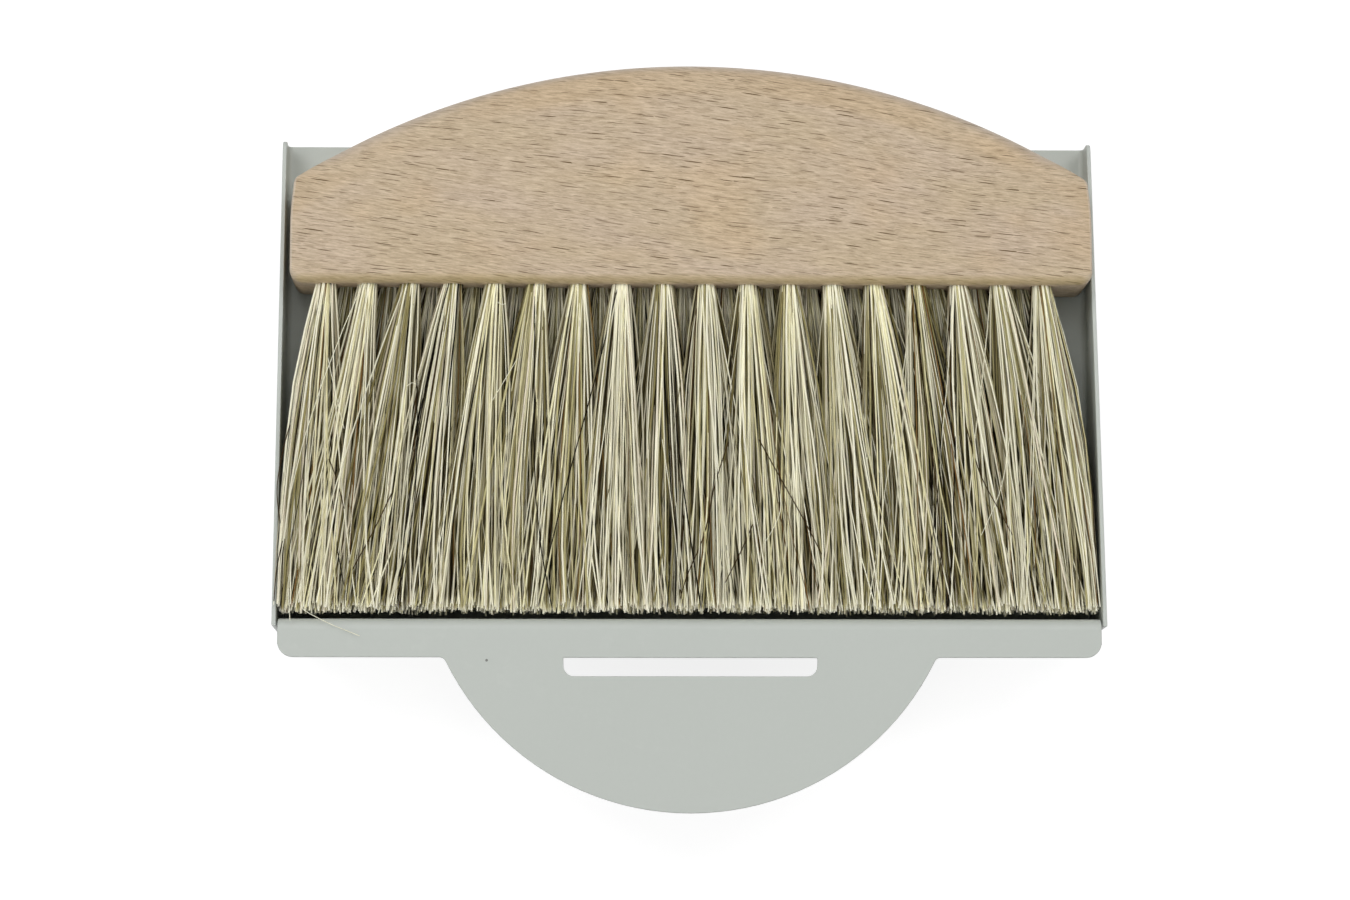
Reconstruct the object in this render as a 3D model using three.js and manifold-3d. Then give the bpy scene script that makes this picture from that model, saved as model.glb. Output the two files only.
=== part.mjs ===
// A dustpan and brush: a folded sheet-steel pan with a half-disc handle, and a beech brush
// that lies in it, held by two magnets. Millimetres, +Z up.
// The pieces are laid out from the middle of the pan's mouth edge, on the surface that the pan
// stands on: X runs along the mouth, and -Y runs from the mouth to the handle.
import * as THREE from "three";
import { mergeVertices } from "three/addons/utils/BufferGeometryUtils.js";
import Module from "manifold-3d";

// ---------- Driving dimensions ----------
const clearance = 0.3; // left between pieces that touch

const pan = {
  width: 240, // over the side walls
  sheet: 1.2, // steel and its coating
  depth: 143.9, // mouth edge to the inner face of the back wall
  height: 32, // the rim at the back
  mouthHeight: 10.5, // the side walls at the mouth
  mouthTipRadius: 2.5, // the front top corner of a side wall
  wallOverrun: 2.3, // how far the side walls run past the back wall's inner face
  foldRadius: 1.5, // inside radius of the folds round the floor
  lipFoldRadius: 2.3, // inside radius of the fold from the back wall to the flange
  seam: 0.5, // between the back wall's ends and the side walls
  relief: 0.6, // above the corner folds, where the back wall is notched
  flangeDepth: 11.34, // back wall's inner face to the flange's rear edge
  flangeCornerRadius: 4.5,
};

const handle = {
  radius: 78.38,
  reach: 55.9, // flange's inner end, at the back wall, to the end of the handle
  filletRadius: 2, // where the half disc meets the flange's rear edge
  slotLength: 72.8,
  slotWidth: 5.3,
  slotCornerRadius: 3,
  slotCap: 0.1, // flange's rear edge to the straight side of the slot
};

const block = {
  endGap: 1.5, // between an end of the block and a side wall, with the brush in the middle
  thickness: 24,
  rise: 65.4, // tuft face to the crown of the bow
  bowRadius: 214.4,
  overhang: 20.3, // crown past the pan's mouth edge
  sideShift: 0.8, // the brush lies a little to the right in the pan
  shoulderRadius: 3, // where an end meets the bow
  footRadius: 3.5, // where an end meets the tuft face
  edgeRound: 0.8, // small rounding of the other edges
  backRound: 2, // rounding of the edges that face the pan
  rollAtCrown: 5, // width of the soft roll along the bow, at its middle
  rollAtShoulder: 9, // and at its two ends
  rollDepth: 4,
};

const tufts = {
  pitch: 12.3, // along a row
  endMargin: 10, // least distance from an end of the block to the outer tufts
  sideShift: -2.1, // the rows lie to the left of the block's middle
  setback: 5.5, // front face to the front row, and back face to the back row
  holeDiameter: 6,
  holeDepth: 14,
  holeGap: 0.55, // between the folded fibres and the wall of their hole
  stripThickness: 2.5, // slice of the block that carries a row
  stripMargin: 4, // past the outer tufts
};

const bristle = {
  tipGap: 2.6, // between the tips and the back wall
  rootRadius: 0.55,
  tipRadius: 0.85,
  rootPitch: 1.2, // between strands at the root, along the row
  rootRowPitch: 1.5, // between a tuft's two layers of strands at the root
  sideGap: 3.2, // from a side wall to the outermost strand's tip
  belowRim: 1, // from the rim down to the highest tips
  aboveFloor: 1.4, // from the floor up to the lowest tips
  bendAt: 0.6, // share of the length at which a tuft has fanned out most
  fanAtBend: 0.9, // share of the fan reached there
  tipScatter: 0.3, // sideways scatter of the tips
  lengthScatter: 1.6,
  rootInset: 1.2, // how deep a strand starts in its strip
};

const anchor = {
  endGap: 0.8, // from the wall of the hole to an end of the anchor
  height: 2,
  thickness: 0.5,
  cut: 0.5, // sheared corners
};

const magnet = {
  diameter: 12,
  thickness: 3,
  spacing: 140,
  behindMouth: 8, // centre, measured from the mouth edge
};

// How many flat facets stand for each round.
const facets = {
  fold: 5,
  lipFold: 8,
  corner: 6,
  blockCorner: 4,
  handle: 44,
  bow: 40,
  roll: 4,
  backEdge: 2,
  hole: 8,
  plug: 6,
  strand: 3,
  disc: 24,
};
const past = 1; // how far a cutting tool runs past what it cuts

// ---------- Values that follow ----------
const innerHalf = pan.width / 2 - pan.sheet;
const flatHalf = innerHalf - pan.foldRadius; // flat part of the floor
const lipOuterRadius = pan.lipFoldRadius + pan.sheet;
const backY = -pan.depth;
const flangeY = backY - pan.flangeDepth;
const handleEndY = backY - handle.reach;
const handleCentreY = handleEndY + handle.radius;

const blockBack = pan.sheet + clearance;
const blockFront = blockBack + block.thickness;
const blockHalf = innerHalf - block.endGap;
const tuftFaceY = block.overhang - block.rise;
const bowCentreY = block.overhang - block.bowRadius;

// Three rows of tufts from the front of the block to its back, the middle one staggered.
const rowRoom = 2 * (blockHalf - tufts.endMargin - Math.abs(tufts.sideShift));
const longRowCount = Math.floor(rowRoom / tufts.pitch) + 1;
const rows = [
  { name: "front", count: longRowCount, perLayer: 4, seed: 11 },
  { name: "middle", count: longRowCount - 1, perLayer: 3, seed: 23 },
  { name: "back", count: longRowCount, perLayer: 4, seed: 37 },
];
const rowPitch = (block.thickness - 2 * tufts.setback) / (rows.length - 1);
rows.forEach((row, index) => {
  row.z = blockFront - tufts.setback - index * rowPitch;
  row.order = index;
});
const holeRadius = tufts.holeDiameter / 2;
const holeFootY = tuftFaceY + tufts.holeDepth;
const plugRadius = holeRadius - tufts.holeGap;
const stripHalfLength = ((longRowCount - 1) * tufts.pitch) / 2 + tufts.stripMargin;
const stripLeft = tufts.sideShift - stripHalfLength;
const stripRight = tufts.sideShift + stripHalfLength;
const stripHeight = rowPitch - clearance;

const fibreReach = tuftFaceY - backY - bristle.tipGap; // tuft face to the tips
const matHalfWidth = innerHalf - bristle.sideGap;
const matTop = pan.height - bristle.belowRim;
const matBottom = pan.sheet + bristle.aboveFloor;
const layersPerRow = 2; // the strands of a tuft stand in an upper and a lower layer
const layerStep = (matTop - matBottom) / (rows.length * layersPerRow - 1);

// ---------- Solids ----------
const wasm = await Module();
wasm.setup();

function toSolid(geometry) {
  const bare = new THREE.BufferGeometry();
  bare.setAttribute("position", geometry.getAttribute("position"));
  bare.setIndex(geometry.index);
  const merged = mergeVertices(bare, 1e-4);
  return new wasm.Manifold(
    new wasm.Mesh({
      numProp: 3,
      vertProperties: merged.attributes.position.array,
      triVerts: new Uint32Array(merged.index.array),
    }),
  );
}

function toGeometry(solid) {
  const mesh = solid.getMesh();
  const geometry = new THREE.BufferGeometry();
  geometry.setAttribute("position", new THREE.BufferAttribute(mesh.vertProperties, 3));
  geometry.setIndex(new THREE.BufferAttribute(mesh.triVerts, 1));
  geometry.computeVertexNormals();
  return geometry;
}

function joined(solids) {
  return solids.reduce((whole, piece) => whole.add(piece));
}

function cut(solid, tools) {
  return tools.reduce((rest, tool) => rest.subtract(tool), solid);
}

// Points of an arc from one angle to another, in degrees, both ends included.
function arc(x, y, radius, from, to, steps) {
  return Array.from({ length: steps + 1 }, (_, i) => {
    const angle = THREE.MathUtils.degToRad(from + ((to - from) * i) / steps);
    return new THREE.Vector2(x + radius * Math.cos(angle), y + radius * Math.sin(angle));
  });
}

const point = (x, y) => new THREE.Vector2(x, y);

function extruded(outline, length, holes = []) {
  const shape = new THREE.Shape(outline);
  holes.forEach((hole) => shape.holes.push(new THREE.Path(hole)));
  return new THREE.ExtrudeGeometry(shape, { depth: length, bevelEnabled: false });
}

// An outline drawn in Y and Z, extruded along X and centred on x = 0.
function acrossX(outline, length) {
  const turn = new THREE.Matrix4().makeBasis(
    new THREE.Vector3(0, 1, 0),
    new THREE.Vector3(0, 0, 1),
    new THREE.Vector3(1, 0, 0),
  );
  const geometry = extruded(outline, length);
  geometry.translate(0, 0, -length / 2);
  return toSolid(geometry.applyMatrix4(turn));
}

// An outline drawn in X and Z, extruded from y = start towards -Y.
function towardsBack(outline, start, length) {
  const turn = new THREE.Matrix4().makeBasis(
    new THREE.Vector3(1, 0, 0),
    new THREE.Vector3(0, 0, 1),
    new THREE.Vector3(0, -1, 0),
  );
  return toSolid(extruded(outline, length).applyMatrix4(turn).translate(0, start, 0));
}

// An outline drawn in X and Y, extruded upwards from z = bottom.
function upwards(outline, bottom, height, holes = []) {
  return toSolid(extruded(outline, height, holes).translate(0, 0, bottom));
}

function boxBetween(low, high) {
  const size = high.map((value, i) => value - low[i]);
  const geometry = new THREE.BoxGeometry(...size);
  return toSolid(geometry.translate(...low.map((value, i) => value + size[i] / 2)));
}

// Closed surface through rings of equal point counts, each a list of Vector3, capped at both ends.
function stacked(rings) {
  const count = rings[0].length;
  const positions = rings.flat().flatMap((p) => [p.x, p.y, p.z]);
  const index = [];
  for (let r = 0; r + 1 < rings.length; r += 1) {
    for (let i = 0; i < count; i += 1) {
      const next = (i + 1) % count;
      const low = r * count;
      const high = low + count;
      index.push(low + i, low + next, high + next);
      index.push(low + i, high + next, high + i);
    }
  }
  const last = (rings.length - 1) * count;
  const cap = (ring) => THREE.ShapeUtils.triangulateShape(ring.map((p) => point(p.x, p.y)), []);
  cap(rings[0]).forEach(([a, b, c]) => index.push(c, b, a));
  cap(rings[rings.length - 1]).forEach(([a, b, c]) => index.push(last + a, last + b, last + c));
  const geometry = new THREE.BufferGeometry();
  geometry.setAttribute("position", new THREE.Float32BufferAttribute(positions, 3));
  geometry.setIndex(index);
  return geometry;
}

// ---------- Pan ----------
// The middle of the blank: floor, fold, back wall, fold and the start of the flange.
function panStrip() {
  const { sheet, foldRadius, lipFoldRadius, height } = pan;
  const foldY = backY + foldRadius;
  const foldZ = sheet + foldRadius;
  const lipY = backY - lipOuterRadius;
  const lipZ = height - lipOuterRadius;
  const lipEnd = (lipY + flangeY) / 2;
  const outline = [
    point(0, 0),
    point(0, sheet),
    ...arc(foldY, foldZ, foldRadius, 270, 180, facets.fold),
    ...arc(lipY, lipZ, lipOuterRadius, 0, 90, facets.lipFold),
    point(lipEnd, height),
    point(lipEnd, height - sheet),
    ...arc(lipY, lipZ, lipFoldRadius, 90, 0, facets.lipFold),
    ...arc(foldY, foldZ, foldRadius + sheet, 180, 270, facets.fold),
  ];
  const strip = acrossX(outline, 2 * (innerHalf - pan.seam));
  const notchTop = foldZ + pan.relief;
  const notches = [-1, 1].map((side) => {
    const ends = [side * flatHalf, side * pan.width].sort((a, b) => a - b);
    return boxBetween([ends[0], flangeY, -sheet], [ends[1], sheet, notchTop]);
  });
  return cut(strip, notches);
}

// Floor and side walls as one trough, cut to the slope of the wall tops.
function panTrough() {
  const { sheet, foldRadius, height, width } = pan;
  const half = width / 2;
  const foldX = half - sheet - foldRadius;
  const foldZ = sheet + foldRadius;
  const outer = foldRadius + sheet;
  const outline = [
    ...arc(-foldX, foldZ, outer, 180, 270, facets.fold),
    ...arc(foldX, foldZ, outer, 270, 360, facets.fold),
    point(half, height),
    point(half - sheet, height),
    ...arc(foldX, foldZ, foldRadius, 360, 270, facets.fold),
    ...arc(-foldX, foldZ, foldRadius, 270, 180, facets.fold),
    point(-half + sheet, height),
    point(-half, height),
  ];
  const wallEndY = backY - pan.wallOverrun;
  const trough = towardsBack(outline, 0, -wallEndY);
  const slope = THREE.MathUtils.radToDeg(Math.atan2(height - pan.mouthHeight, -wallEndY));
  const tip = pan.mouthTipRadius;
  const tipZ = pan.mouthHeight - tip * Math.tan(THREE.MathUtils.degToRad(45 - slope / 2));
  const side = [
    point(0, -sheet),
    ...arc(-tip, tipZ, tip, 0, 90 - slope, facets.corner),
    point(wallEndY, height),
    point(wallEndY, -sheet),
  ];
  const behindFold = boxBetween(
    [-flatHalf, wallEndY - past, -past],
    [flatHalf, backY + foldRadius, height + past],
  );
  return trough.intersect(acrossX(side, 2 * width)).subtract(behindFold);
}

// Flange and half-disc handle, one flat outline with the hanging slot.
function panFlange() {
  const half = innerHalf - pan.seam;
  const corner = pan.flangeCornerRadius;
  const fillet = handle.filletRadius;
  const filletY = flangeY - fillet;
  const filletX = Math.sqrt((handle.radius + fillet) ** 2 - (filletY - handleCentreY) ** 2);
  const meet = THREE.MathUtils.radToDeg(Math.atan2(handleCentreY - filletY, filletX));
  const outline = [
    point(half, backY - lipOuterRadius),
    point(-half, backY - lipOuterRadius),
    ...arc(-half + corner, flangeY + corner, corner, 180, 270, facets.corner),
    ...arc(-filletX, filletY, fillet, 90, meet, facets.corner),
    ...arc(0, handleCentreY, handle.radius, 180 + meet, 360 - meet, facets.handle).slice(1, -1),
    ...arc(filletX, filletY, fillet, 180 - meet, 90, facets.corner),
    ...arc(half - corner, flangeY + corner, corner, 270, 360, facets.corner),
  ];
  const slotTop = flangeY - handle.slotCap;
  const slotFoot = slotTop - handle.slotWidth;
  const slotHalf = handle.slotLength / 2;
  const round = handle.slotCornerRadius;
  const slot = [
    point(-slotHalf, slotTop),
    ...arc(-slotHalf + round, slotFoot + round, round, 180, 270, facets.corner),
    ...arc(slotHalf - round, slotFoot + round, round, 270, 360, facets.corner),
    point(slotHalf, slotTop),
  ];
  return upwards(outline, pan.height - pan.sheet, pan.sheet, [slot]);
}

function panTray() {
  return joined([panTrough(), panStrip(), panFlange()]);
}

// ---------- Brush block ----------
// The outline seen from the front, anticlockwise from the left foot, with the width of the roll
// that each point gets on the front edge.
function blockOutline() {
  const foot = block.footRadius;
  const shoulder = block.shoulderRadius;
  const shoulderX = blockHalf - shoulder;
  const shoulderReach = block.bowRadius - shoulder;
  const shoulderY = bowCentreY + Math.sqrt(shoulderReach ** 2 - shoulderX ** 2);
  const tilt = THREE.MathUtils.radToDeg(Math.acos(shoulderX / shoulderReach));
  const turned = (x, y, radius, from, to, steps) =>
    arc(x, y, radius, from, to, steps).map((p) => ({
      p,
      out: point((p.x - x) / radius, (p.y - y) / radius),
    }));
  const outline = [
    ...turned(-blockHalf + foot, tuftFaceY + foot, foot, 180, 270, facets.blockCorner),
    ...turned(blockHalf - foot, tuftFaceY + foot, foot, 270, 360, facets.blockCorner),
    ...turned(shoulderX, shoulderY, shoulder, 0, tilt, facets.blockCorner),
    ...turned(0, bowCentreY, block.bowRadius, tilt, 180 - tilt, facets.bow).slice(1, -1),
    ...turned(-shoulderX, shoulderY, shoulder, 180 - tilt, 180, facets.blockCorner),
  ];
  return outline.map(({ p, out }) => {
    const onBow = THREE.MathUtils.smoothstep(p.y, shoulderY - shoulder, shoulderY + shoulder);
    const across = (Math.abs(p.x) / blockHalf) ** 2;
    const rollWidth = THREE.MathUtils.lerp(block.rollAtCrown, block.rollAtShoulder, across);
    return {
      p,
      out,
      width: THREE.MathUtils.lerp(block.edgeRound, rollWidth, onBow),
      depth: THREE.MathUtils.lerp(block.edgeRound, block.rollDepth, onBow),
    };
  });
}

function quarterTurn(steps) {
  return Array.from({ length: steps + 1 }, (_, i) => (i * Math.PI) / (2 * steps));
}

function blockBody() {
  const outline = blockOutline();
  const ring = (inset, z) =>
    outline.map((o) => {
      const step = inset(o);
      return new THREE.Vector3(o.p.x - o.out.x * step, o.p.y - o.out.y * step, z(o));
    });
  const rings = [
    ...quarterTurn(facets.backEdge).map((angle) => {
      const inset = block.backRound * (1 - Math.sin(angle));
      return ring(() => inset, () => blockBack + block.backRound * (1 - Math.cos(angle)));
    }),
    ...quarterTurn(facets.roll).map((angle) =>
      ring(
        (o) => o.width * (1 - Math.cos(angle)),
        (o) => blockFront - o.depth * (1 - Math.sin(angle)),
      ),
    ),
  ];
  return toSolid(stacked(rings));
}

// A drilled hole or a round plug along Y, between two depths.
function roundAlongY(x, z, radius, fromY, toY, sides) {
  const geometry = new THREE.CylinderGeometry(radius, radius, toY - fromY, sides);
  return toSolid(geometry.translate(x, (fromY + toY) / 2, z));
}

function tuftCentres(row) {
  const first = tufts.sideShift - ((row.count - 1) * tufts.pitch) / 2;
  return Array.from({ length: row.count }, (_, i) => first + i * tufts.pitch);
}

function brushBlock() {
  const lowest = rows[rows.length - 1].z - rowPitch / 2 - clearance;
  const highest = rows[0].z + rowPitch / 2 + clearance;
  const recess = boxBetween(
    [stripLeft - clearance, tuftFaceY - past, lowest],
    [stripRight + clearance, tuftFaceY + tufts.stripThickness + clearance, highest],
  );
  const holes = rows.flatMap((row) =>
    tuftCentres(row).map((x) =>
      roundAlongY(x, row.z, holeRadius, tuftFaceY, holeFootY, facets.hole),
    ),
  );
  const pocketDepth = magnet.thickness + 2 * clearance;
  const pockets = [-1, 1].map((side) =>
    discUpwards(side, magnet.diameter / 2 + clearance, blockBack - past, blockBack + pocketDepth),
  );
  return cut(blockBody(), [recess, ...holes, ...pockets]);
}

// ---------- Magnets ----------
function discUpwards(side, radius, bottom, top) {
  const circle = arc((side * magnet.spacing) / 2, -magnet.behindMouth, radius, 0, 360, facets.disc);
  return upwards(circle.slice(0, -1), bottom, top - bottom);
}

function magnetDisc(side) {
  const bottom = blockBack + clearance;
  return discUpwards(side, magnet.diameter / 2, bottom, bottom + magnet.thickness);
}

// ---------- Bristles ----------
// A small repeatable random source, from 0 to 1.
function randomFrom(seed) {
  let state = seed;
  return () => {
    state = (state * 1664525 + 1013904223) % 4294967296;
    return state / 4294967296;
  };
}

// A three-sided strand through stations from its tip to its root, each with a centre and a
// radius. It is built standing along Z, so that its ends can be capped, and then laid along Y.
function strand(stations, turn) {
  const rings = stations.map(({ x, y, z, radius }) =>
    Array.from({ length: facets.strand }, (_, corner) => {
      const angle = turn + (corner * 2 * Math.PI) / facets.strand;
      return new THREE.Vector3(x + radius * Math.cos(angle), radius * Math.sin(angle) - z, y);
    }),
  );
  return toSolid(stacked(rings).rotateX(-Math.PI / 2));
}

// A tuft fans out quickly up to the bend and slowly past it.
function fanAt(along) {
  const { bendAt, fanAtBend } = bristle;
  return along <= bendAt
    ? (fanAtBend * along) / bendAt
    : THREE.MathUtils.mapLinear(along, bendAt, 1, fanAtBend, 1);
}

// Every strand of a row runs from its own place in a grid at the roots to the same place in a
// wider grid at the tips, so no two strands cross.
function rowStrands(row) {
  const random = randomFrom(row.seed);
  const scatter = (size) => (random() * 2 - 1) * size;
  const tipPitch = (2 * matHalfWidth) / (longRowCount - 1 / rows[0].perLayer);
  const strands = [];
  tuftCentres(row).forEach((centre, i) => {
    const tipCentre = (i - (row.count - 1) / 2) * tipPitch;
    for (let layer = 0; layer < layersPerRow; layer += 1) {
      const rootZ = row.z + ((layersPerRow - 1) / 2 - layer) * bristle.rootRowPitch;
      const tipZ = matTop - (row.order * layersPerRow + layer) * layerStep;
      for (let k = 0; k < row.perLayer; k += 1) {
        const place = k - (row.perLayer - 1) / 2;
        const rootX = centre + place * bristle.rootPitch;
        const tipX = tipCentre + (place * tipPitch) / row.perLayer + scatter(bristle.tipScatter);
        const topZ = tipZ + scatter(bristle.tipScatter);
        const at = (along) => ({
          x: THREE.MathUtils.lerp(rootX, tipX, fanAt(along)),
          y: tuftFaceY - fibreReach * along,
          z: THREE.MathUtils.lerp(rootZ, topZ, fanAt(along)),
          radius: THREE.MathUtils.lerp(bristle.rootRadius, bristle.tipRadius, fanAt(along)),
        });
        const tip = at(1 - (bristle.lengthScatter * random()) / fibreReach);
        const root = { ...at(0), y: tuftFaceY + bristle.rootInset };
        strands.push(strand([tip, at(bristle.bendAt), root], random() * Math.PI));
      }
    }
  });
  return strands;
}

// A row of tufts on its slice of the block, with the folded roots that fill the drilled holes.
function bristleRow(row) {
  const strip = boxBetween(
    [stripLeft, tuftFaceY, row.z - stripHeight / 2],
    [stripRight, tuftFaceY + tufts.stripThickness, row.z + stripHeight / 2],
  );
  const plugEnd = holeFootY - anchor.height - 2 * clearance;
  const plugStart = tuftFaceY + tufts.stripThickness / 2;
  const plugs = tuftCentres(row).map((x) =>
    roundAlongY(x, row.z, plugRadius, plugStart, plugEnd, facets.plug),
  );
  return joined([strip, ...plugs, ...rowStrands(row)]);
}

// ---------- Anchors ----------
// A short piece of flat wire, sheared at its corners, across the foot of a hole.
function anchorPlate() {
  const half = holeRadius - anchor.endGap;
  const outline = [
    point(-half, 0),
    point(half, 0),
    point(half, anchor.height - anchor.cut),
    point(half - anchor.cut, anchor.height),
    point(-half + anchor.cut, anchor.height),
    point(-half, anchor.height - anchor.cut),
  ];
  const geometry = extruded(outline, anchor.thickness);
  return geometry.translate(0, 0, -anchor.thickness / 2);
}

// ---------- Finishes ----------
const coatedSteel = new THREE.MeshStandardMaterial({
  color: 0xbcc2bb,
  roughness: 0.55,
  metalness: 0,
});
const beech = new THREE.MeshStandardMaterial({ color: 0xd2b48c, roughness: 0.7, metalness: 0 });
const fibre = new THREE.MeshStandardMaterial({ color: 0xb9b58c, roughness: 0.8, metalness: 0 });
const brightSteel = new THREE.MeshStandardMaterial({
  color: 0xb8b8b8,
  roughness: 0.35,
  metalness: 1,
});

function piece(name, geometry, material) {
  const mesh = new THREE.Mesh(geometry, material);
  mesh.name = name;
  return mesh;
}

// ---------- Assembly ----------
const part = new THREE.Group();
part.add(piece("pan_tray", toGeometry(panTray()), coatedSteel));

const brush = new THREE.Group();
brush.position.x = block.sideShift;
brush.add(piece("brush_block", toGeometry(brushBlock()), beech));
brush.add(piece("magnet_left", toGeometry(magnetDisc(-1)), brightSteel));
brush.add(piece("magnet_right", toGeometry(magnetDisc(1)), brightSteel));
rows.forEach((row) => {
  brush.add(piece(`bristle_row_${row.name}`, toGeometry(bristleRow(row)), fibre));
  tuftCentres(row).forEach((x, i) => {
    const number = String(i + 1).padStart(2, "0");
    const plate = piece(`anchor_${row.name}_${number}`, anchorPlate(), brightSteel);
    plate.position.set(x, holeFootY - clearance - anchor.height, row.z);
    brush.add(plate);
  });
});
part.add(brush);

// The origin moves to the middle of the whole object's footprint.
part.position.y = -(block.overhang + handleEndY) / 2;

export default part;
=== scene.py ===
# %% [markdown]
# # A dustpan and brush
#
# The object is a pan of folded, powder-coated sheet steel with a half-disc handle, and a beech
# brush that lies in it. Its plain solids already exist at their real size, and they are loaded
# first as a fixed frame. This lesson then makes what the eye sees around that frame: the soft
# edges of the coated steel, the sanded and drilled wood, several thousand plant fibres, and a
# procedural finish for each of them. Lengths are written in millimetres and turned into
# Blender's metres where they are used.

import math
import random

import bmesh
import bpy
from mathutils import Matrix, Vector


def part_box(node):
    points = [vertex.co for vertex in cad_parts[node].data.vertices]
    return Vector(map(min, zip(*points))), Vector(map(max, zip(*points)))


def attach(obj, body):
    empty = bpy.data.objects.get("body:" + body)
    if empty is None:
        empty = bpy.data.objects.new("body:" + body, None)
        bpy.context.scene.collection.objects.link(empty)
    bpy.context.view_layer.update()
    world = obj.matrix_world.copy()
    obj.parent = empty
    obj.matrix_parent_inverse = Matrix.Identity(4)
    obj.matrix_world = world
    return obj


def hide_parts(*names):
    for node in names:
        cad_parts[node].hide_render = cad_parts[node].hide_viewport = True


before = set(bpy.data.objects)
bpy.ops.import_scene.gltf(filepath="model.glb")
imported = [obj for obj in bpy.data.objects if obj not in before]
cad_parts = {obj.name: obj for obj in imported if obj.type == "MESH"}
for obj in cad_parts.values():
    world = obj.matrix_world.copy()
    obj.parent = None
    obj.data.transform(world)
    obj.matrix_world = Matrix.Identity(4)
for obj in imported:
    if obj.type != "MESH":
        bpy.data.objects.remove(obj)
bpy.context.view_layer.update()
MM = 0.001

# %% [markdown]
# ## The camera
#
# The photograph is a packshot taken from nearly straight above with a long lens, a little towards
# the handle, so that the side of the block over the tufts still shows. The camera could be aimed
# at a target with a constraint. A matrix is used instead, because three small turns and a position
# are what a fit of the photographed edges gives, and they can be read one by one.

# %% Place the camera
PHOTO_WIDTH = 1350
FOCAL_PIXELS = 3984
SENSOR_WIDTH = 36
CAMERA_PLACE = Vector((-33.34, -160.38, 1170.63)) * MM
CAMERA_TURNS = (("Y", -1.456), ("X", 7.742), ("Z", -0.055))


def add_camera():
    lens = bpy.data.cameras.new("camera")
    lens.sensor_width = SENSOR_WIDTH
    lens.lens = FOCAL_PIXELS / PHOTO_WIDTH * SENSOR_WIDTH
    camera = bpy.data.objects.new("camera", lens)
    bpy.context.scene.collection.objects.link(camera)
    turned = Matrix.Identity(4)
    for axis, degrees in CAMERA_TURNS:
        turned = turned @ Matrix.Rotation(math.radians(degrees), 4, axis)
    camera.matrix_world = Matrix.Translation(CAMERA_PLACE) @ turned
    bpy.context.scene.camera = camera
    print("camera: lens", round(lens.lens, 1), "mm")


add_camera()

# %% [markdown]
# ## Small helpers for node trees
#
# Shader trees and geometry trees are built by the same calls: make a node, fill its inputs, and
# link what is already a socket. One helper does that for both, so that each material below reads
# as a list of what it is made of. A socket knows which tree it is in, so the helpers for sums and
# textures find the tree through their sockets.


# %% Helpers for nodes and sums
def node(tree, kind, inputs=None, **settings):
    """Adds a node. An input is given by its name or number, as a value or as a socket to link."""
    made = tree.nodes.new(kind)
    for name, value in settings.items():
        setattr(made, name, value)
    for key, value in (inputs or {}).items():
        if isinstance(value, bpy.types.NodeSocket):
            tree.links.new(value, made.inputs[key])
        else:
            made.inputs[key].default_value = value
    return made


def feed(target, name, value):
    """Links a socket to an input of a node that is there already."""
    target.id_data.links.new(value, target.inputs[name])


def tree_of(*values):
    """The tree of the first socket among some values."""
    return next(value.id_data for value in values if isinstance(value, bpy.types.NodeSocket))


def maths(operation, *values, clamp=False):
    settings = {"operation": operation, "use_clamp": clamp}
    made = node(tree_of(*values), "ShaderNodeMath", dict(enumerate(values)), **settings)
    return made.outputs[0]


def times(first, second):
    return maths("MULTIPLY", first, second)


def plus(first, second):
    return maths("ADD", first, second)


def minus(first, second):
    return maths("SUBTRACT", first, second)


def divided(first, second):
    return maths("DIVIDE", first, second)


def vectors(operation, *values):
    inputs = dict(enumerate(values))
    made = node(tree_of(*values), "ShaderNodeVectorMath", inputs, operation=operation)
    return made.outputs["Vector"]


def scaled(vector, factor):
    inputs = {"Vector": vector, "Scale": factor}
    made = node(tree_of(vector, factor), "ShaderNodeVectorMath", inputs, operation="SCALE")
    return made.outputs["Vector"]


def length_of(vector):
    inputs = {"Vector": vector}
    made = node(vector.id_data, "ShaderNodeVectorMath", inputs, operation="LENGTH")
    return made.outputs["Value"]


def combined(x, y, z):
    return node(tree_of(x, y, z), "ShaderNodeCombineXYZ", {"X": x, "Y": y, "Z": z}).outputs[0]


def separated(vector):
    return node(vector.id_data, "ShaderNodeSeparateXYZ", {"Vector": vector}).outputs


def blended(factor, low, high, data_type="RGBA"):
    """A mix of two values, vectors or colours."""
    first = {"FLOAT": 2, "VECTOR": 4, "RGBA": 6}[data_type]
    result = {"FLOAT": 0, "VECTOR": 1, "RGBA": 2}[data_type]
    inputs = {0: factor, first: low, first + 1: high}
    made = node(tree_of(factor, low, high), "ShaderNodeMix", inputs, data_type=data_type)
    return made.outputs[result]


def ranged(value, low, high, to_low=0.0, to_high=1.0, smooth=False):
    inputs = {"Value": value, "From Min": low, "From Max": high}
    inputs.update({"To Min": to_low, "To Max": to_high})
    kind = "SMOOTHSTEP" if smooth else "LINEAR"
    made = node(value.id_data, "ShaderNodeMapRange", inputs, interpolation_type=kind)
    return made.outputs["Result"]


print("helpers for nodes and sums ready")

# %% Helpers for textures and colours
NOISE_SPAN = (0.3, 0.7)


def noise(vector, scale, detail=2.0, roughness=0.5):
    """A noise around 0.5, most of which lies in the span above."""
    inputs = {"Vector": vector, "Scale": scale, "Detail": detail, "Roughness": roughness}
    return node(vector.id_data, "ShaderNodeTexNoise", inputs).outputs["Fac"]


def stretched(vector, stretch, turn=(0.0, 0.0, 0.0)):
    """Coordinates for a texture, turned and stretched. A larger number makes it finer."""
    inputs = {"Vector": vector, "Scale": stretch, "Rotation": turn}
    return node(vector.id_data, "ShaderNodeMapping", inputs).outputs["Vector"]


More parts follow.
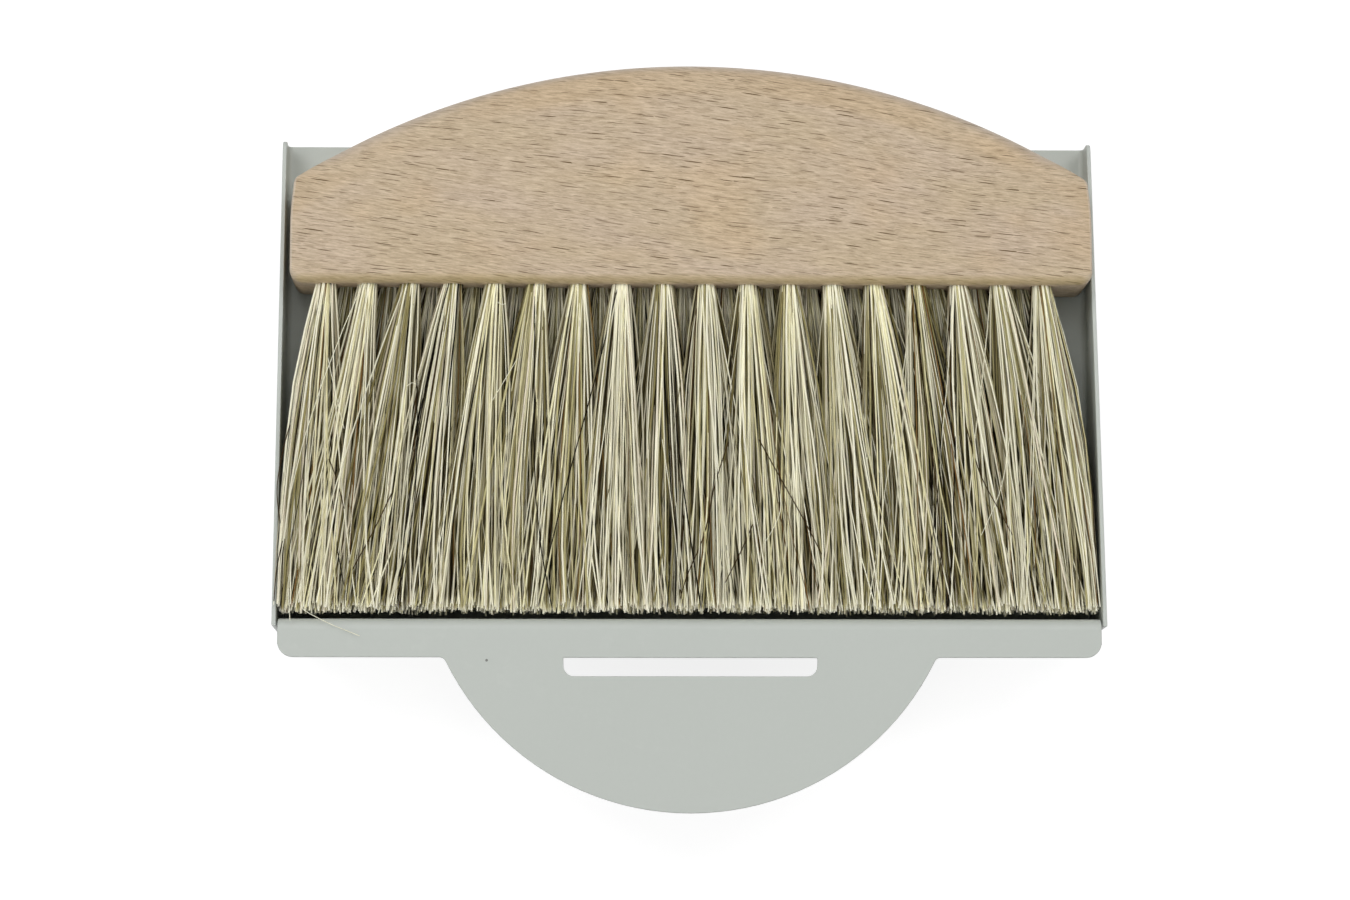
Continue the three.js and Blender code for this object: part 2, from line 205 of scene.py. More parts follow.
def srgb(red, green, blue):
    """A colour as a paint card gives it, from 0 to 255, turned into linear light."""
    def linear(value):
        share = value / 255
        return share / 12.92 if share <= 0.04045 else ((share + 0.055) / 1.055) ** 2.4

    return (linear(red), linear(green), linear(blue), 1.0)


def ramped(value, stops):
    """A colour picked from a list of (position, colour on a paint card)."""
    made = node(value.id_data, "ShaderNodeValToRGB", {"Fac": value})
    elements = made.color_ramp.elements
    first, *between, last = stops
    for element, (position, colour) in zip(elements, (first, last)):
        element.position = position
        element.color = srgb(*colour)
    for position, colour in between:
        elements.new(position).color = srgb(*colour)
    return made.outputs["Color"]


print("helpers for textures and colours ready")

# %% Helpers for groups and materials
SOCKET_KINDS = {float: "Float", int: "Int", Vector: "Vector"}


def placed(tree, group, inputs):
    return node(tree, "ShaderNodeGroup", inputs, node_tree=group).outputs


def attribute(tree, name):
    return node(tree, "ShaderNodeAttribute", attribute_name=name).outputs["Fac"]


def new_group(name, kind, inputs, outputs):
    """An empty node group. An input has its default, or only the kind of its socket."""
    tree = bpy.data.node_groups.new(name, kind)
    for label, default in inputs.items():
        bare = isinstance(default, str)
        socket_type = "NodeSocket" + (default if bare else SOCKET_KINDS[type(default)])
        made = tree.interface.new_socket(label, in_out="INPUT", socket_type=socket_type)
        if not bare:
            made.default_value = default
    for label, socket_kind in outputs.items():
        socket_type = "NodeSocket" + socket_kind
        tree.interface.new_socket(label, in_out="OUTPUT", socket_type=socket_type)
    return tree, tree.nodes.new("NodeGroupInput").outputs, tree.nodes.new("NodeGroupOutput")


def new_material(name, **shader_settings):
    """A material with one Principled shader, and the settings that are the same all over it."""
    made = bpy.data.materials.new(name)
    made.use_nodes = True
    tree = made.node_tree
    tree.nodes.clear()
    shader = node(tree, "ShaderNodeBsdfPrincipled")
    for label, value in shader_settings.items():
        shader.inputs[label.replace("_", " ")].default_value = value
    node(tree, "ShaderNodeOutputMaterial", {"Surface": shader.outputs["BSDF"]})
    place = node(tree, "ShaderNodeTexCoord").outputs["Object"]
    return made, tree, shader, place


def add_bump(shader, height, strength, distance):
    inputs = {"Height": height, "Strength": strength, "Distance": distance}
    feed(shader, "Normal", node(shader.id_data, "ShaderNodeBump", inputs).outputs["Normal"])


print("helpers for groups and materials ready")

# %% [markdown]
# ## Effects that several finishes share
#
# Finishes vary a little from place to place, carry a few small marks, or wear first along their
# edges. Each of these three effects is one node group, with its sizes as inputs, and each finish
# that needs it places it with its own values.


# %% Node groups: mottle, marks and edge wear
def make_mottle():
    """Soft light and dark clouds, at a large and a small size, around 1."""
    inputs = {
        "Vector": "Vector",
        "Cloud Size": 0.03,
        "Grain Size": 0.001,
        "Amount": 0.05,
    }
    outputs = {"Value": "Float"}
    tree, given, result = new_group("mottle", "ShaderNodeTree", inputs, outputs)
    clouds = noise(given["Vector"], divided(1.0, given["Cloud Size"]), 3)
    grains = noise(given["Vector"], divided(1.0, given["Grain Size"]), 2)
    both = blended(0.4, clouds, grains, "FLOAT")
    centred = minus(both, 0.5)
    swing = times(times(centred, given["Amount"]), 2.0)
    feed(result, "Value", plus(swing, 1.0))
    return tree


def make_marks():
    """Small round marks at random places: 1 inside a mark and 0 around it."""
    inputs = {
        "Vector": "Vector",
        "Spacing": 0.02,
        "Size": 0.0003,
        "Share": 0.5,
    }
    outputs = {"Mask": "Float"}
    tree, given, result = new_group("marks", "ShaderNodeTree", inputs, outputs)
    scale = divided(1.0, given["Spacing"])
    cells = node(tree, "ShaderNodeTexVoronoi", {"Vector": given["Vector"], "Scale": scale})
    reach = times(cells.outputs["Distance"], given["Spacing"])
    chance = node(tree, "ShaderNodeSeparateColor", {"Color": cells.outputs["Color"]}).outputs
    radius = times(given["Size"], chance["Green"])
    inside = maths("LESS_THAN", reach, radius)
    picked = maths("LESS_THAN", chance["Red"], given["Share"])
    feed(result, "Mask", times(inside, picked))
    return tree


def make_edge_wear():
    """Broken wear along edges, from the edge attribute that each rigid piece stores."""
    inputs = {
        "Vector": "Vector",
        "Patch Size": 0.004,
        "Coverage": 0.4,
    }
    outputs = {"Mask": "Float"}
    tree, given, result = new_group("edge wear", "ShaderNodeTree", inputs, outputs)
    scale = divided(1.0, given["Patch Size"])
    patches = noise(given["Vector"], scale, 4, 0.6)
    start = minus(1.0, given["Coverage"])
    broken = ranged(patches, start, plus(start, 0.2))
    worn = times(broken, attribute(tree, "edge"))
    feed(result, "Mask", worn)
    return tree


mottle = make_mottle()
marks = make_marks()
edge_wear = make_edge_wear()
print("shared effects:", mottle.name, marks.name, edge_wear.name)

# %% [markdown]
# ## Powder coat
#
# The steel is sprayed with a pale grey-green powder and baked, which leaves a matt skin with a
# very fine orange-peel texture, a few dark grains of dust, and a film that is a touch thinner
# and paler over the sharp edges. The texture could be modelled, but it is less than a tenth of a
# millimetre deep, so a bump from two sizes of noise is enough.

# %% Material: powder coat
COAT_GREEN = (192, 197, 191)
THIN_COAT = (210, 214, 208)
DUST_GREY = (84, 82, 78)
COARSE_PEEL = (1500, 2)
FINE_PEEL = (5000, 1)


def make_powder_coat():
    made, tree, shader, place = new_material("powder_coat", Specular_IOR_Level=0.5)
    cloud_inputs = {"Vector": place, "Cloud Size": 0.05, "Grain Size": 0.0012, "Amount": 0.035}
    cloudy = placed(tree, mottle, cloud_inputs)["Value"]
    dust_inputs = {"Vector": place, "Spacing": 0.022, "Size": 0.0005, "Share": 0.5}
    dust = placed(tree, marks, dust_inputs)["Mask"]
    worn_inputs = {"Vector": place, "Patch Size": 0.006, "Coverage": 0.45}
    worn = placed(tree, edge_wear, worn_inputs)["Mask"]
    paint = vectors("MULTIPLY", srgb(*COAT_GREEN)[:3], cloudy)
    paler = blended(times(worn, 0.35), paint, srgb(*THIN_COAT))
    coloured = blended(times(dust, 0.75), paler, srgb(*DUST_GREY))
    feed(shader, "Base Color", coloured)
    feed(shader, "Roughness", times(cloudy, 0.4))
    peel = blended(0.35, noise(place, *COARSE_PEEL), noise(place, *FINE_PEEL), "FLOAT")
    height = plus(peel, times(dust, 1.5))
    add_bump(shader, height, 0.35, 0.06 * MM)
    return made


powder_coat = make_powder_coat()
print("material:", powder_coat.name)

# %% [markdown]
# ## Beech
#
# Beech is known by its rays: on a flat-sawn face they are short dark dashes along the grain, on a
# quartered face they are wide flakes. Each ray is a thin upright ribbon in the tree, so a single
# cloud of stretched cells in three dimensions gives the right mark on every face of the block. A
# Voronoi texture tells each point where the middle of its own cell is, and the dash is drawn
# around that middle. Two sizes of it are laid over fine streaks and over clouds of a yellower and
# a pinker wood, all in coordinates that are turned a little, because the grain runs a few degrees
# off the block's length. The roll along the bow is sanded smoother, so it looks greyer there, and
# a warmer growth ring comes to the surface just inside it.

# %% Where the bow of the block is
BOW_RADIUS = 214.4 * MM
block_low, block_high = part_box("brush_block")
bow_centre = Vector(((block_low.x + block_high.x) / 2, block_high.y - BOW_RADIUS, 0))
print("the bow is centred at", [round(value / MM, 1) for value in bow_centre], "mm")

# %% Node group: ray marks
GRAIN_SLOPE = math.radians(7)
RAY_SPACING = Vector((7.2, 1.25, 12)) * MM
RAY_HALF_SIZE = Vector((3.2, 0.15, 5.4)) * MM
SMALL_RAY_SPACING = Vector((3.4, 0.66, 8)) * MM
SMALL_RAY_HALF_SIZE = Vector((1.5, 0.1, 3.4)) * MM
SMALL_RAY_SHIFT = (0.37, 0.21, 0.53)


def make_ray_marks():
    """Dashes along X: how dark the ray is here, from 0 to 1."""
    inputs = {
        "Vector": "Vector",
        "Spacing": RAY_SPACING,
        "Half Size": RAY_HALF_SIZE,
    }
    outputs = {"Mask": "Float"}
    tree, given, result = new_group("ray marks", "ShaderNodeTree", inputs, outputs)
    in_cells = vectors("DIVIDE", given["Vector"], given["Spacing"])
    cells = node(tree, "ShaderNodeTexVoronoi", {"Vector": in_cells, "Scale": 1.0})
    from_middle = vectors("SUBTRACT", in_cells, cells.outputs["Position"])
    offset = vectors("MULTIPLY", from_middle, given["Spacing"])
    chance = node(tree, "ShaderNodeSeparateColor", {"Color": cells.outputs["Color"]}).outputs
    size = ranged(chance["Red"], 0.0, 1.0, 0.5, 1.2)
    reach = vectors("DIVIDE", offset, scaled(given["Half Size"], size))
    flat_reach = vectors("MULTIPLY", reach, (1.0, 1.0, 0.0))
    dash = ranged(length_of(flat_reach), 1.05, 0.65, smooth=True)
    deep = maths("ABSOLUTE", separated(reach)["Z"])
    ribbon = times(dash, ranged(deep, 1.0, 0.8, smooth=True))
    dark = ranged(maths("POWER", chance["Green"], 1.5), 0.0, 1.0, 0.12, 1.0)
    feed(result, "Mask", times(ribbon, dark))
    return tree


ray_marks = make_ray_marks()
print("group:", ray_marks.name)


# %% The ground colour of the wood, and its rays
YELLOW_WOOD = ((198, 178, 149), (200, 180, 156))
PINK_WOOD = (208, 179, 141)
GROWTH_RING = (196, 170, 130)
SANDED_WOOD = (196, 182, 167)
RING_INSIDE_BOW = (12 * MM, 7 * MM)


def beech_ground(place, grain, rolled):
    """Clouds of yellower and pinker wood, with the growth ring and the sanded roll."""
    clouds = noise(stretched(grain, (26, 85, 60)), 1.0, 2)
    warm = noise(stretched(grain, (30, 50, 50)), 1.0, 2)
    pale = ranged(clouds, 0.36, 0.64)
    yellow = blended(pale, *(srgb(*colour) for colour in YELLOW_WOOD))
    pink = times(ranged(warm, 0.5, 0.68, smooth=True), 0.3)
    tinted = blended(pink, yellow, srgb(*PINK_WOOD))
    from_centre = vectors("MULTIPLY", vectors("SUBTRACT", place, bow_centre), (1, 1, 0))
    inwards = minus(BOW_RADIUS, length_of(from_centre))
    band = ranged(inwards, *RING_INSIDE_BOW, smooth=True)
    banded = blended(times(times(band, pale), 0.5), tinted, srgb(*GROWTH_RING))
    return blended(times(rolled, 0.8), banded, srgb(*SANDED_WOOD))


def beech_rays(tree, grain, rolled):
    """Both sizes of ray, weaker on the roll and on faces that stand upright."""
    rays = placed(tree, ray_marks, {"Vector": grain})["Mask"]
    small_inputs = {"Vector": vectors("ADD", grain, SMALL_RAY_SHIFT)}
    small_inputs["Spacing"] = SMALL_RAY_SPACING
    small_inputs["Half Size"] = SMALL_RAY_HALF_SIZE
    small = placed(tree, ray_marks, small_inputs)["Mask"]
    both = maths("ADD", rays, times(small, 0.6), clamp=True)
    kept = times(both, ranged(rolled, 0.0, 1.0, 1.0, 0.6))
    normal = node(tree, "ShaderNodeNewGeometry").outputs["Normal"]
    level = maths("ABSOLUTE", separated(normal)["Z"])
    return times(kept, ranged(level, 0.05, 0.5, 0.15, 1.0, smooth=True))


print("ray spacing:", [round(side / MM, 2) for side in RAY_SPACING], "mm")

# %% Material: beech
RAY_BROWN = (88, 64, 14)
STREAK_TINT = (1.0, 1.12, 1.3)
# The next two colours are a painted highlight on the rim and a painted reflection of the bristles.
RIM_HIGHLIGHT = (226, 214, 198)
BRISTLE_REFLECTION = (188, 168, 112)
HANDLED_WOOD = (184, 158, 124)


def make_beech():
    made, tree, shader, place = new_material("beech", Specular_IOR_Level=0.4)
    wave = noise(stretched(place, (9, 25, 25)), 1.0, 1)
    lift = times(minus(wave, 0.5), 9 * MM)
    moved = vectors("ADD", place, combined(0.0, lift, 0.0))
    grain = stretched(moved, (1, 1, 1), (0, 0, GRAIN_SLOPE))
    rolled = ranged(attribute(tree, "roll"), 0.2, 0.8, smooth=True)
    ground = beech_ground(place, grain, rolled)

    streaks = noise(stretched(grain, (230, 2000, 600)), 1.0, 4, 0.75)
    quieter = ranged(rolled, 0.0, 1.0, 0.29, 0.15)
    swing = times(ranged(streaks, *NOISE_SPAN, -1.0, 0.85), quieter)
    tinted_swing = vectors("ADD", scaled(STREAK_TINT, swing), (1.0, 1.0, 1.0))
    streaked = vectors("MULTIPLY", ground, tinted_swing)
    rays = beech_rays(tree, grain, rolled)
    rayed = blended(rays, streaked, srgb(*RAY_BROWN))

    # Painted highlight: the small round along the ends of the block is made paler.
    highlighted = blended(times(attribute(tree, "rim"), 0.5), rayed, srgb(*RIM_HIGHLIGHT))
    # Painted reflection of the bristles: the round over the tufts is tinted yellower.
    reflected = blended(times(attribute(tree, "tuft_edge"), 0.45), highlighted, srgb(*BRISTLE_REFLECTION))
    worn_inputs = {"Vector": place, "Patch Size": 0.01, "Coverage": 0.6}
    worn = placed(tree, edge_wear, worn_inputs)["Mask"]
    feed(shader, "Base Color", blended(times(worn, 0.1), reflected, srgb(*HANDLED_WOOD)))
    feed(shader, "Roughness", ranged(streaks, *NOISE_SPAN, 0.5, 0.4))
    add_bump(shader, minus(streaks, times(rays, 1.5)), 0.5, 0.08 * MM)
    return made


beech = make_beech()
print("material:", beech.name)

# %% [markdown]
# ## Plant fibre
#
# The tufts mix several kinds of stiff plant fibre: mostly straw and yellow-green, some grey-white,
# some olive, and a few brown or nearly black. Every fibre therefore needs a colour of its own,
# which no texture in space can give where fibres touch. The fibres carry three attributes instead:
# tone, a number that is drawn once for each fibre, along, which runs from 0 at its root to 1 at
# its tip, and shade, a painted shade that is lower for fibres deep in the mat, where shadow falls
# between them. A fibre counts as deep when it lies away from the open side of its row, or of the
# tuft at the row's end, and a covered row is also painted darker along its length. The painted
# shade turns warm brown where it is darkest and fades out towards the tips. A colour ramp turns
# tone into a kind of fibre, and noise varies it lengthwise.

# %% Material: plant fibre
FIBRE_KINDS = (
    (0.00, (20, 13, 5)),
    (0.025, (64, 46, 22)),
    (0.05, (132, 100, 56)),
    (0.08, (124, 114, 70)),
    (0.17, (190, 183, 136)),
    (0.30, (236, 230, 190)),
    (0.50, (253, 248, 217)),
    (0.72, (255, 253, 234)),
    (0.78, (222, 213, 190)),
    (0.86, (252, 245, 222)),
    (1.00, (255, 253, 234)),
)
PALEST_FIBRE = (255, 252, 228)
CUT_FIBRE = (250, 246, 234)
# Painted shade: the colours the fibres are multiplied by, from the deepest shadow in the mat to
# none.
DEPTH_SHADES = (
    (0.00, (26, 18, 5)),
    (0.10, (66, 60, 40)),
    (0.35, (146, 139, 118)),
    (1.00, (255, 255, 255)),
)


def make_plant_fibre():
    made, tree, shader, place = new_material("plant_fibre", Specular_IOR_Level=0.08)
    along = attribute(tree, "along")
    tone = attribute(tree, "tone")
    kind = ramped(tone, FIBRE_KINDS)
    streaks = noise(stretched(place, (2600, 60, 2600)), 1.0, 2)
    patches = noise(stretched(place, (500, 45, 500)), 1.0, 2)
    lengthwise = ranged(streaks, *NOISE_SPAN, 0.9, 1.24)
    patchy = ranged(patches, *NOISE_SPAN, 0.92, 1.14)
    varied = scaled(kind, times(lengthwise, patchy))
    varied = vectors("MINIMUM", varied, srgb(*PALEST_FIBRE)[:3])
    # Painted shade from the shade attribute, lifted towards the tips so that they stay light.
    unshaded_tip = ranged(along, 0.93, 0.99, smooth=True)
    unshaded = maths("MAXIMUM", attribute(tree, "shade"), unshaded_tip)
    shaded = vectors("MULTIPLY", varied, ramped(unshaded, DEPTH_SHADES))
    cut_end = times(ranged(along, 0.988, 1.0), 0.5)
    coloured = blended(cut_end, shaded, srgb(*CUT_FIBRE))
    feed(shader, "Base Color", coloured)
    feed(shader, "Roughness", ranged(streaks, *NOISE_SPAN, 0.4, 0.55))
    add_bump(shader, streaks, 0.3, 0.05 * MM)
    return made


plant_fibre = make_plant_fibre()
print("material:", plant_fibre.name, "with", len(FIBRE_KINDS), "kinds of fibre")

# %% [markdown]
# ## Metals that hardly show
#
# The two magnets are nickel-plated discs, bright with faint scuffs from handling. The anchors in
# the drilled holes are cut from drawn steel wire, so their brushing runs along the wire. Both stay
# on the frame's own solids, whose shapes are right already.

# %% Materials: plated magnet and drawn wire
NICKEL = (205, 203, 198)
SCUFFED_NICKEL = (150, 148, 144)
STEEL_WIRE = (188, 186, 182)


def make_plated_nickel():
    made, tree, shader, place = new_material("plated_nickel", Metallic=1.0)
    cloud_inputs = {"Vector": place, "Cloud Size": 0.006, "Grain Size": 0.0004, "Amount": 0.08}
    cloudy = placed(tree, mottle, cloud_inputs)["Value"]
    colour = vectors("MULTIPLY", srgb(*NICKEL)[:3], cloudy)
    scuff_inputs = {"Vector": place, "Spacing": 0.0015, "Size": 0.0003, "Share": 0.4}
    scuffs = placed(tree, marks, scuff_inputs)["Mask"]
    scuffed = blended(times(scuffs, 0.3), colour, srgb(*SCUFFED_NICKEL))
    feed(shader, "Base Color", scuffed)
    feed(shader, "Roughness", ranged(cloudy, 0.95, 1.05, 0.2, 0.34))
    add_bump(shader, cloudy, 0.2, 0.05 * MM)
    return made


def make_drawn_wire():
    made, tree, shader, place = new_material("drawn_wire", Metallic=1.0)
    lines = noise(stretched(place, (200, 9000, 9000)), 1.0, 3)
    cloud_inputs = {"Vector": place, "Cloud Size": 0.003, "Grain Size": 0.0003, "Amount": 0.1}
    cloudy = placed(tree, mottle, cloud_inputs)["Value"]
    colour = vectors("MULTIPLY", srgb(*STEEL_WIRE)[:3], cloudy)
    feed(shader, "Base Color", colour)
    feed(shader, "Roughness", ranged(lines, *NOISE_SPAN, 0.3, 0.5))
    add_bump(shader, lines, 0.3, 0.04 * MM)
    return made


def dress_frame_solids(prefix, material):
    dressed = [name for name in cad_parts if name.startswith(prefix)]
    for name in dressed:
        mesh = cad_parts[name].data
        mesh.materials.clear()
        mesh.materials.append(material)
    print(material.name, "on", len(dressed), "solids")


dress_frame_solids("magnet_", make_plated_nickel())
dress_frame_solids("anchor_", make_drawn_wire())

# %% [markdown]
# ## Finishing a rigid piece
#
# A sharp computed edge looks false, because real edges catch light along a narrow round. The pan's
# edges get that round from a Bevel modifier. The result is baked into a plain mesh, its flat
# faces keep flat shading through face-weighted normals, and each vertex stores how sharply the
# surface bends there, which the edge wear group reads.


# %% Helpers for rigid meshes
def add_object(name, mesh):
    made = bpy.data.objects.new(name, mesh)
    bpy.context.scene.collection.objects.link(made)
    return made


def mesh_of(work, name):
    """Turns a bmesh into a mesh and frees it."""
    mesh = bpy.data.meshes.new(name)
    work.to_mesh(mesh)
    work.free()
    return mesh


def bake_modifiers(piece):
    """Replaces a piece's mesh by what its modifiers make of it, and removes them."""
    bpy.context.view_layer.update()
    graph = bpy.context.evaluated_depsgraph_get()
    baked = bpy.data.meshes.new_from_object(piece.evaluated_get(graph))
    piece.modifiers.clear()
    piece.data = baked
    return piece


def store_edges(mesh, low_degrees, high_degrees):
    """Stores on each vertex how sharply the faces around it turn, from 0 to 1."""
    work = bmesh.new()
    work.from_mesh(mesh)
    layer = work.verts.layers.float.new("edge")
    for vert in work.verts:
        angles = [edge.calc_face_angle(0.0) for edge in vert.link_edges]
        sharpest = math.degrees(max(angles, default=0.0))
        share = (sharpest - low_degrees) / (high_degrees - low_degrees)
        vert[layer] = min(max(share, 0.0), 1.0)
    work.to_mesh(mesh)
    work.free()


def weight_normals(piece, sharp_degrees):
    piece.data.shade_smooth()
    piece.data.set_sharp_from_angle(angle=math.radians(sharp_degrees))
    weighted = piece.modifiers.new("weighted", "WEIGHTED_NORMAL")
    weighted.keep_sharp = True
    return bake_modifiers(piece)


def place_piece(piece, body, slot, *replaced):
    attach(piece, body)
    if replaced:
        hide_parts(*replaced)
    triangles = sum(len(face.vertices) - 2 for face in piece.data.polygons)
    print(piece.name, "rides on", body, "with", triangles, "triangles")


print("helpers for rigid meshes ready")

# %% [markdown]
# ## The pan
#
# One blank of steel, cut out, bent on a brake along its folds, and coated. Its shape and size are
# right in the frame, so the piece starts from a welded copy of that solid and gets what the
# coating adds: every cut edge is rounded over by the film. Where the rounding pushes a corner just
# below the underside that the pan stands on, the corner is brought back to it.

# %% Make the pan
COATED_EDGE_RADIUS = 0.25 * MM
FOLD_FACET_DEGREES = 24
WELD_GAP = 0.002 * MM
FLAT_DEGREES = 0.5
PAN_WEAR_DEGREES = (19, 24)
PAN_SHARP_DEGREES = 50


def make_pan():
    work = bmesh.new()
    work.from_mesh(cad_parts["pan_tray"].data)
    bmesh.ops.remove_doubles(work, verts=work.verts, dist=WELD_GAP)
    flat = math.radians(FLAT_DEGREES)
    bmesh.ops.dissolve_limit(work, angle_limit=flat, verts=work.verts, edges=work.edges)
    mesh = mesh_of(work, "pan")
    mesh.materials.append(powder_coat)
    pan = add_object("pan", mesh)
    edges = pan.modifiers.new("coated edges", "BEVEL")
    edges.width = COATED_EDGE_RADIUS
    edges.segments = 3
    edges.limit_method = "ANGLE"
    edges.angle_limit = math.radians(FOLD_FACET_DEGREES)
    edges.use_clamp_overlap = False
    bake_modifiers(pan)
    for vert in pan.data.vertices:
        vert.co.z = max(vert.co.z, 0.0)
    store_edges(pan.data, *PAN_WEAR_DEGREES)
    return weight_normals(pan, PAN_SHARP_DEGREES)


pan = make_pan()
place_piece(pan, "pan", "coated_steel", "pan_tray")

# %% [markdown]
# ## The brush block
#
# The block is sawn from a beech board to a bow, its front edge is rolled over by hand on a belt
# sander, and its straight side is drilled for the tufts. Its shape follows a rule, an outline that
# is drawn inwards ring by ring over the edges, so it is built from rings of points. The roll is
# wider at the shoulders than at the crown and a little uneven, as hand sanding leaves it, and the
# ends lean in a little towards the shoulders, where the sander turned the corner.

# %% Measure the block on the frame
block_half = (block_high.x - block_low.x) / 2
tuft_face_y = block_low.y
SHOULDER_RADIUS = 3 * MM
FOOT_RADIUS = 3.5 * MM
SMALL_ROUND = 0.8 * MM
TUFT_EDGE_ROUND = 2.8 * MM
BACK_ROUND = 2 * MM
ROLL_AT_CROWN = 5 * MM
ROLL_AT_SHOULDER = 8 * MM
ROLL_DEPTH = 4 * MM
ROLL_FADE = 15 * MM
LEAN = 0.9 * MM
LEAN_LENGTH = 13 * MM
LEAN_FADE = 9 * MM
SANDING_WAVES = ((0.07, 61, 0.8), (0.04, 137, 0.0))
ARC_STEPS = 10
END_STEPS = 14
BOW_STEPS = 160
print("block:", [round(side / MM, 1) for side in block_high - block_low], "mm")


# %% Lines and rounds of the outline
def arc(centre_x, centre_y, radius, start, end, steps):
    """Points along an arc, each with the direction in which the surface faces there."""
    points = []
    for step in range(steps + 1):
        angle = start + (end - start) * step / steps
        out = Vector((math.cos(angle), math.sin(angle)))
        points.append((Vector((centre_x, centre_y)) + radius * out, out))
    return points


def straight(x, start_y, end_y, steps):
    """Points along an end of the block, between those of the arcs beside it."""
    out = Vector((math.copysign(1, x), 0))
    shares = [step / steps for step in range(1, steps)]
    return [(Vector((x, start_y + (end_y - start_y) * share)), out) for share in shares]


def smooth_step(value, low, high):
    share = min(max((value - low) / (high - low), 0.0), 1.0)
    return share * share * (3 - 2 * share)


def leaned(point, shoulder_y):
    """Draws a point in towards the middle near a shoulder."""
    rise = min(max((point.y - shoulder_y) / LEAN_LENGTH + 1, 0.0), 1.0)
    fade = 1 - smooth_step(point.y, shoulder_y, shoulder_y + LEAN_FADE)
    step = LEAN * rise**2 * fade
    return Vector((point.x - math.copysign(step, point.x), point.y))


def unevenness(x):
    """How much wider than planned the hand-sanded roll is here: waves of (size, turns, start)."""
    share = 1.0
    for size, turns, start in SANDING_WAVES:
        share += size * math.sin(x * turns + start)
    return share


print("waves in the sanded roll:", len(SANDING_WAVES))


# %% The whole outline
def block_outline():
    """The block seen from the front, anticlockwise from its left foot, with its roll there."""
    shoulder_x = block_half - SHOULDER_RADIUS
    shoulder_reach = BOW_RADIUS - SHOULDER_RADIUS
    shoulder_y = bow_centre.y + math.sqrt(shoulder_reach**2 - shoulder_x**2)
    tilt = math.acos(shoulder_x / shoulder_reach)
    foot_x = block_half - FOOT_RADIUS
    foot_y = tuft_face_y + FOOT_RADIUS
    turn = math.pi / 2
    points = [
        *arc(-foot_x, foot_y, FOOT_RADIUS, 2 * turn, 3 * turn, ARC_STEPS),
        *arc(foot_x, foot_y, FOOT_RADIUS, 3 * turn, 4 * turn, ARC_STEPS),
        *straight(block_half, foot_y, shoulder_y, END_STEPS),
        *arc(shoulder_x, shoulder_y, SHOULDER_RADIUS, 0, tilt, ARC_STEPS),
        *arc(0, bow_centre.y, BOW_RADIUS, tilt, math.pi - tilt, BOW_STEPS)[1:-1],
        *arc(-shoulder_x, shoulder_y, SHOULDER_RADIUS, math.pi - tilt, math.pi, ARC_STEPS),
        *straight(-block_half, shoulder_y, foot_y, END_STEPS),
    ]
    outline = []
    for point, out in points:
        from_end = block_half - abs(point.x)
        on_bow = smooth_step(from_end, 0, ROLL_FADE) if point.y > shoulder_y else 0.0
        across = (point.x / block_half) ** 2
        roll = ROLL_AT_CROWN + (ROLL_AT_SHOULDER - ROLL_AT_CROWN) * across
        small = SMALL_ROUND + (TUFT_EDGE_ROUND - SMALL_ROUND) * max(-out.y, 0.0)
        width = small + (roll * unevenness(point.x) - small) * on_bow
        depth = small + (ROLL_DEPTH - small) * on_bow
        outline.append((leaned(point, shoulder_y), out, width, depth, on_bow))
    return outline


outline = block_outline()
print("outline:", len(outline), "points")

# %% [markdown]
# ### Drilling the block
#
# Each tuft sits in its own blind hole, and each hole is where the frame has that tuft's anchor.
# The holes and the two magnet pockets are cut by one Boolean modifier, with all of the drills
# joined in one cutter, which is quicker and cleaner than a cut for each of them.

# %% Find the tufts and the drills
HOLE_RADIUS = 3 * MM
HOLE_DEPTH = 14 * MM
HOLE_SIDES = 28
POCKET_GAP = 0.3 * MM
POCKET_SIDES = 48
PAST = 2 * MM
ROW_NAMES = ("front", "middle", "back")


def tufts_of(row):
    """Where the tufts of a row leave the block, read from the anchors in their holes."""
    names = sorted(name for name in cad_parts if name.startswith(f"anchor_{row}_"))
    middles = [sum(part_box(name), Vector()) / 2 for name in names]
    return [Vector((middle.x, tuft_face_y, middle.z)) for middle in middles]


def add_drill(work, start, end, radius, sides):
    """A closed cylinder between two points."""
    axis = end - start
    turned = Vector((0, 0, 1)).rotation_difference(axis).to_matrix().to_4x4()
    at = Matrix.Translation((start + end) / 2) @ turned
    bmesh.ops.create_cone(
        work, cap_ends=True, segments=sides, radius1=radius, radius2=radius,
        depth=axis.length, matrix=at,
    )


def make_drills():
    work = bmesh.new()
    for row in ROW_NAMES:
        for mouth in tufts_of(row):
            start = mouth - Vector((0, PAST, 0))
            end = mouth + Vector((0, HOLE_DEPTH, 0))
            add_drill(work, start, end, HOLE_RADIUS, HOLE_SIDES)
    for name in ("magnet_left", "magnet_right"):
        low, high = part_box(name)
        middle = (low + high) / 2
        start = Vector((middle.x, middle.y, block_low.z - PAST))
        end = Vector((middle.x, middle.y, high.z + POCKET_GAP))
        add_drill(work, start, end, (high.x - low.x) / 2 + POCKET_GAP, POCKET_SIDES)
    return add_object("drills", mesh_of(work, "drills"))


print("tufts:", {row: len(tufts_of(row)) for row in ROW_NAMES})

# %% [markdown]
# ### Rings from back to front
#
# Each point of a ring also stores three numbers for the beech: roll, which is 1 on the outside of
# the sanded roll and falls to 0 at its inner edge, rim, which is 1 in the middle of the small
# round along the ends, where a painted highlight makes the wood paler, and tuft_edge, which is 1
# in the middle of the round over the tufts, where a painted reflection of the bristles makes the
# wood yellower.

# %% Make the block
BACK_STEPS = 6
ROLL_STEPS = 12
BLOCK_WEAR_DEGREES = (6, 16)
BLOCK_SHARP_DEGREES = 35


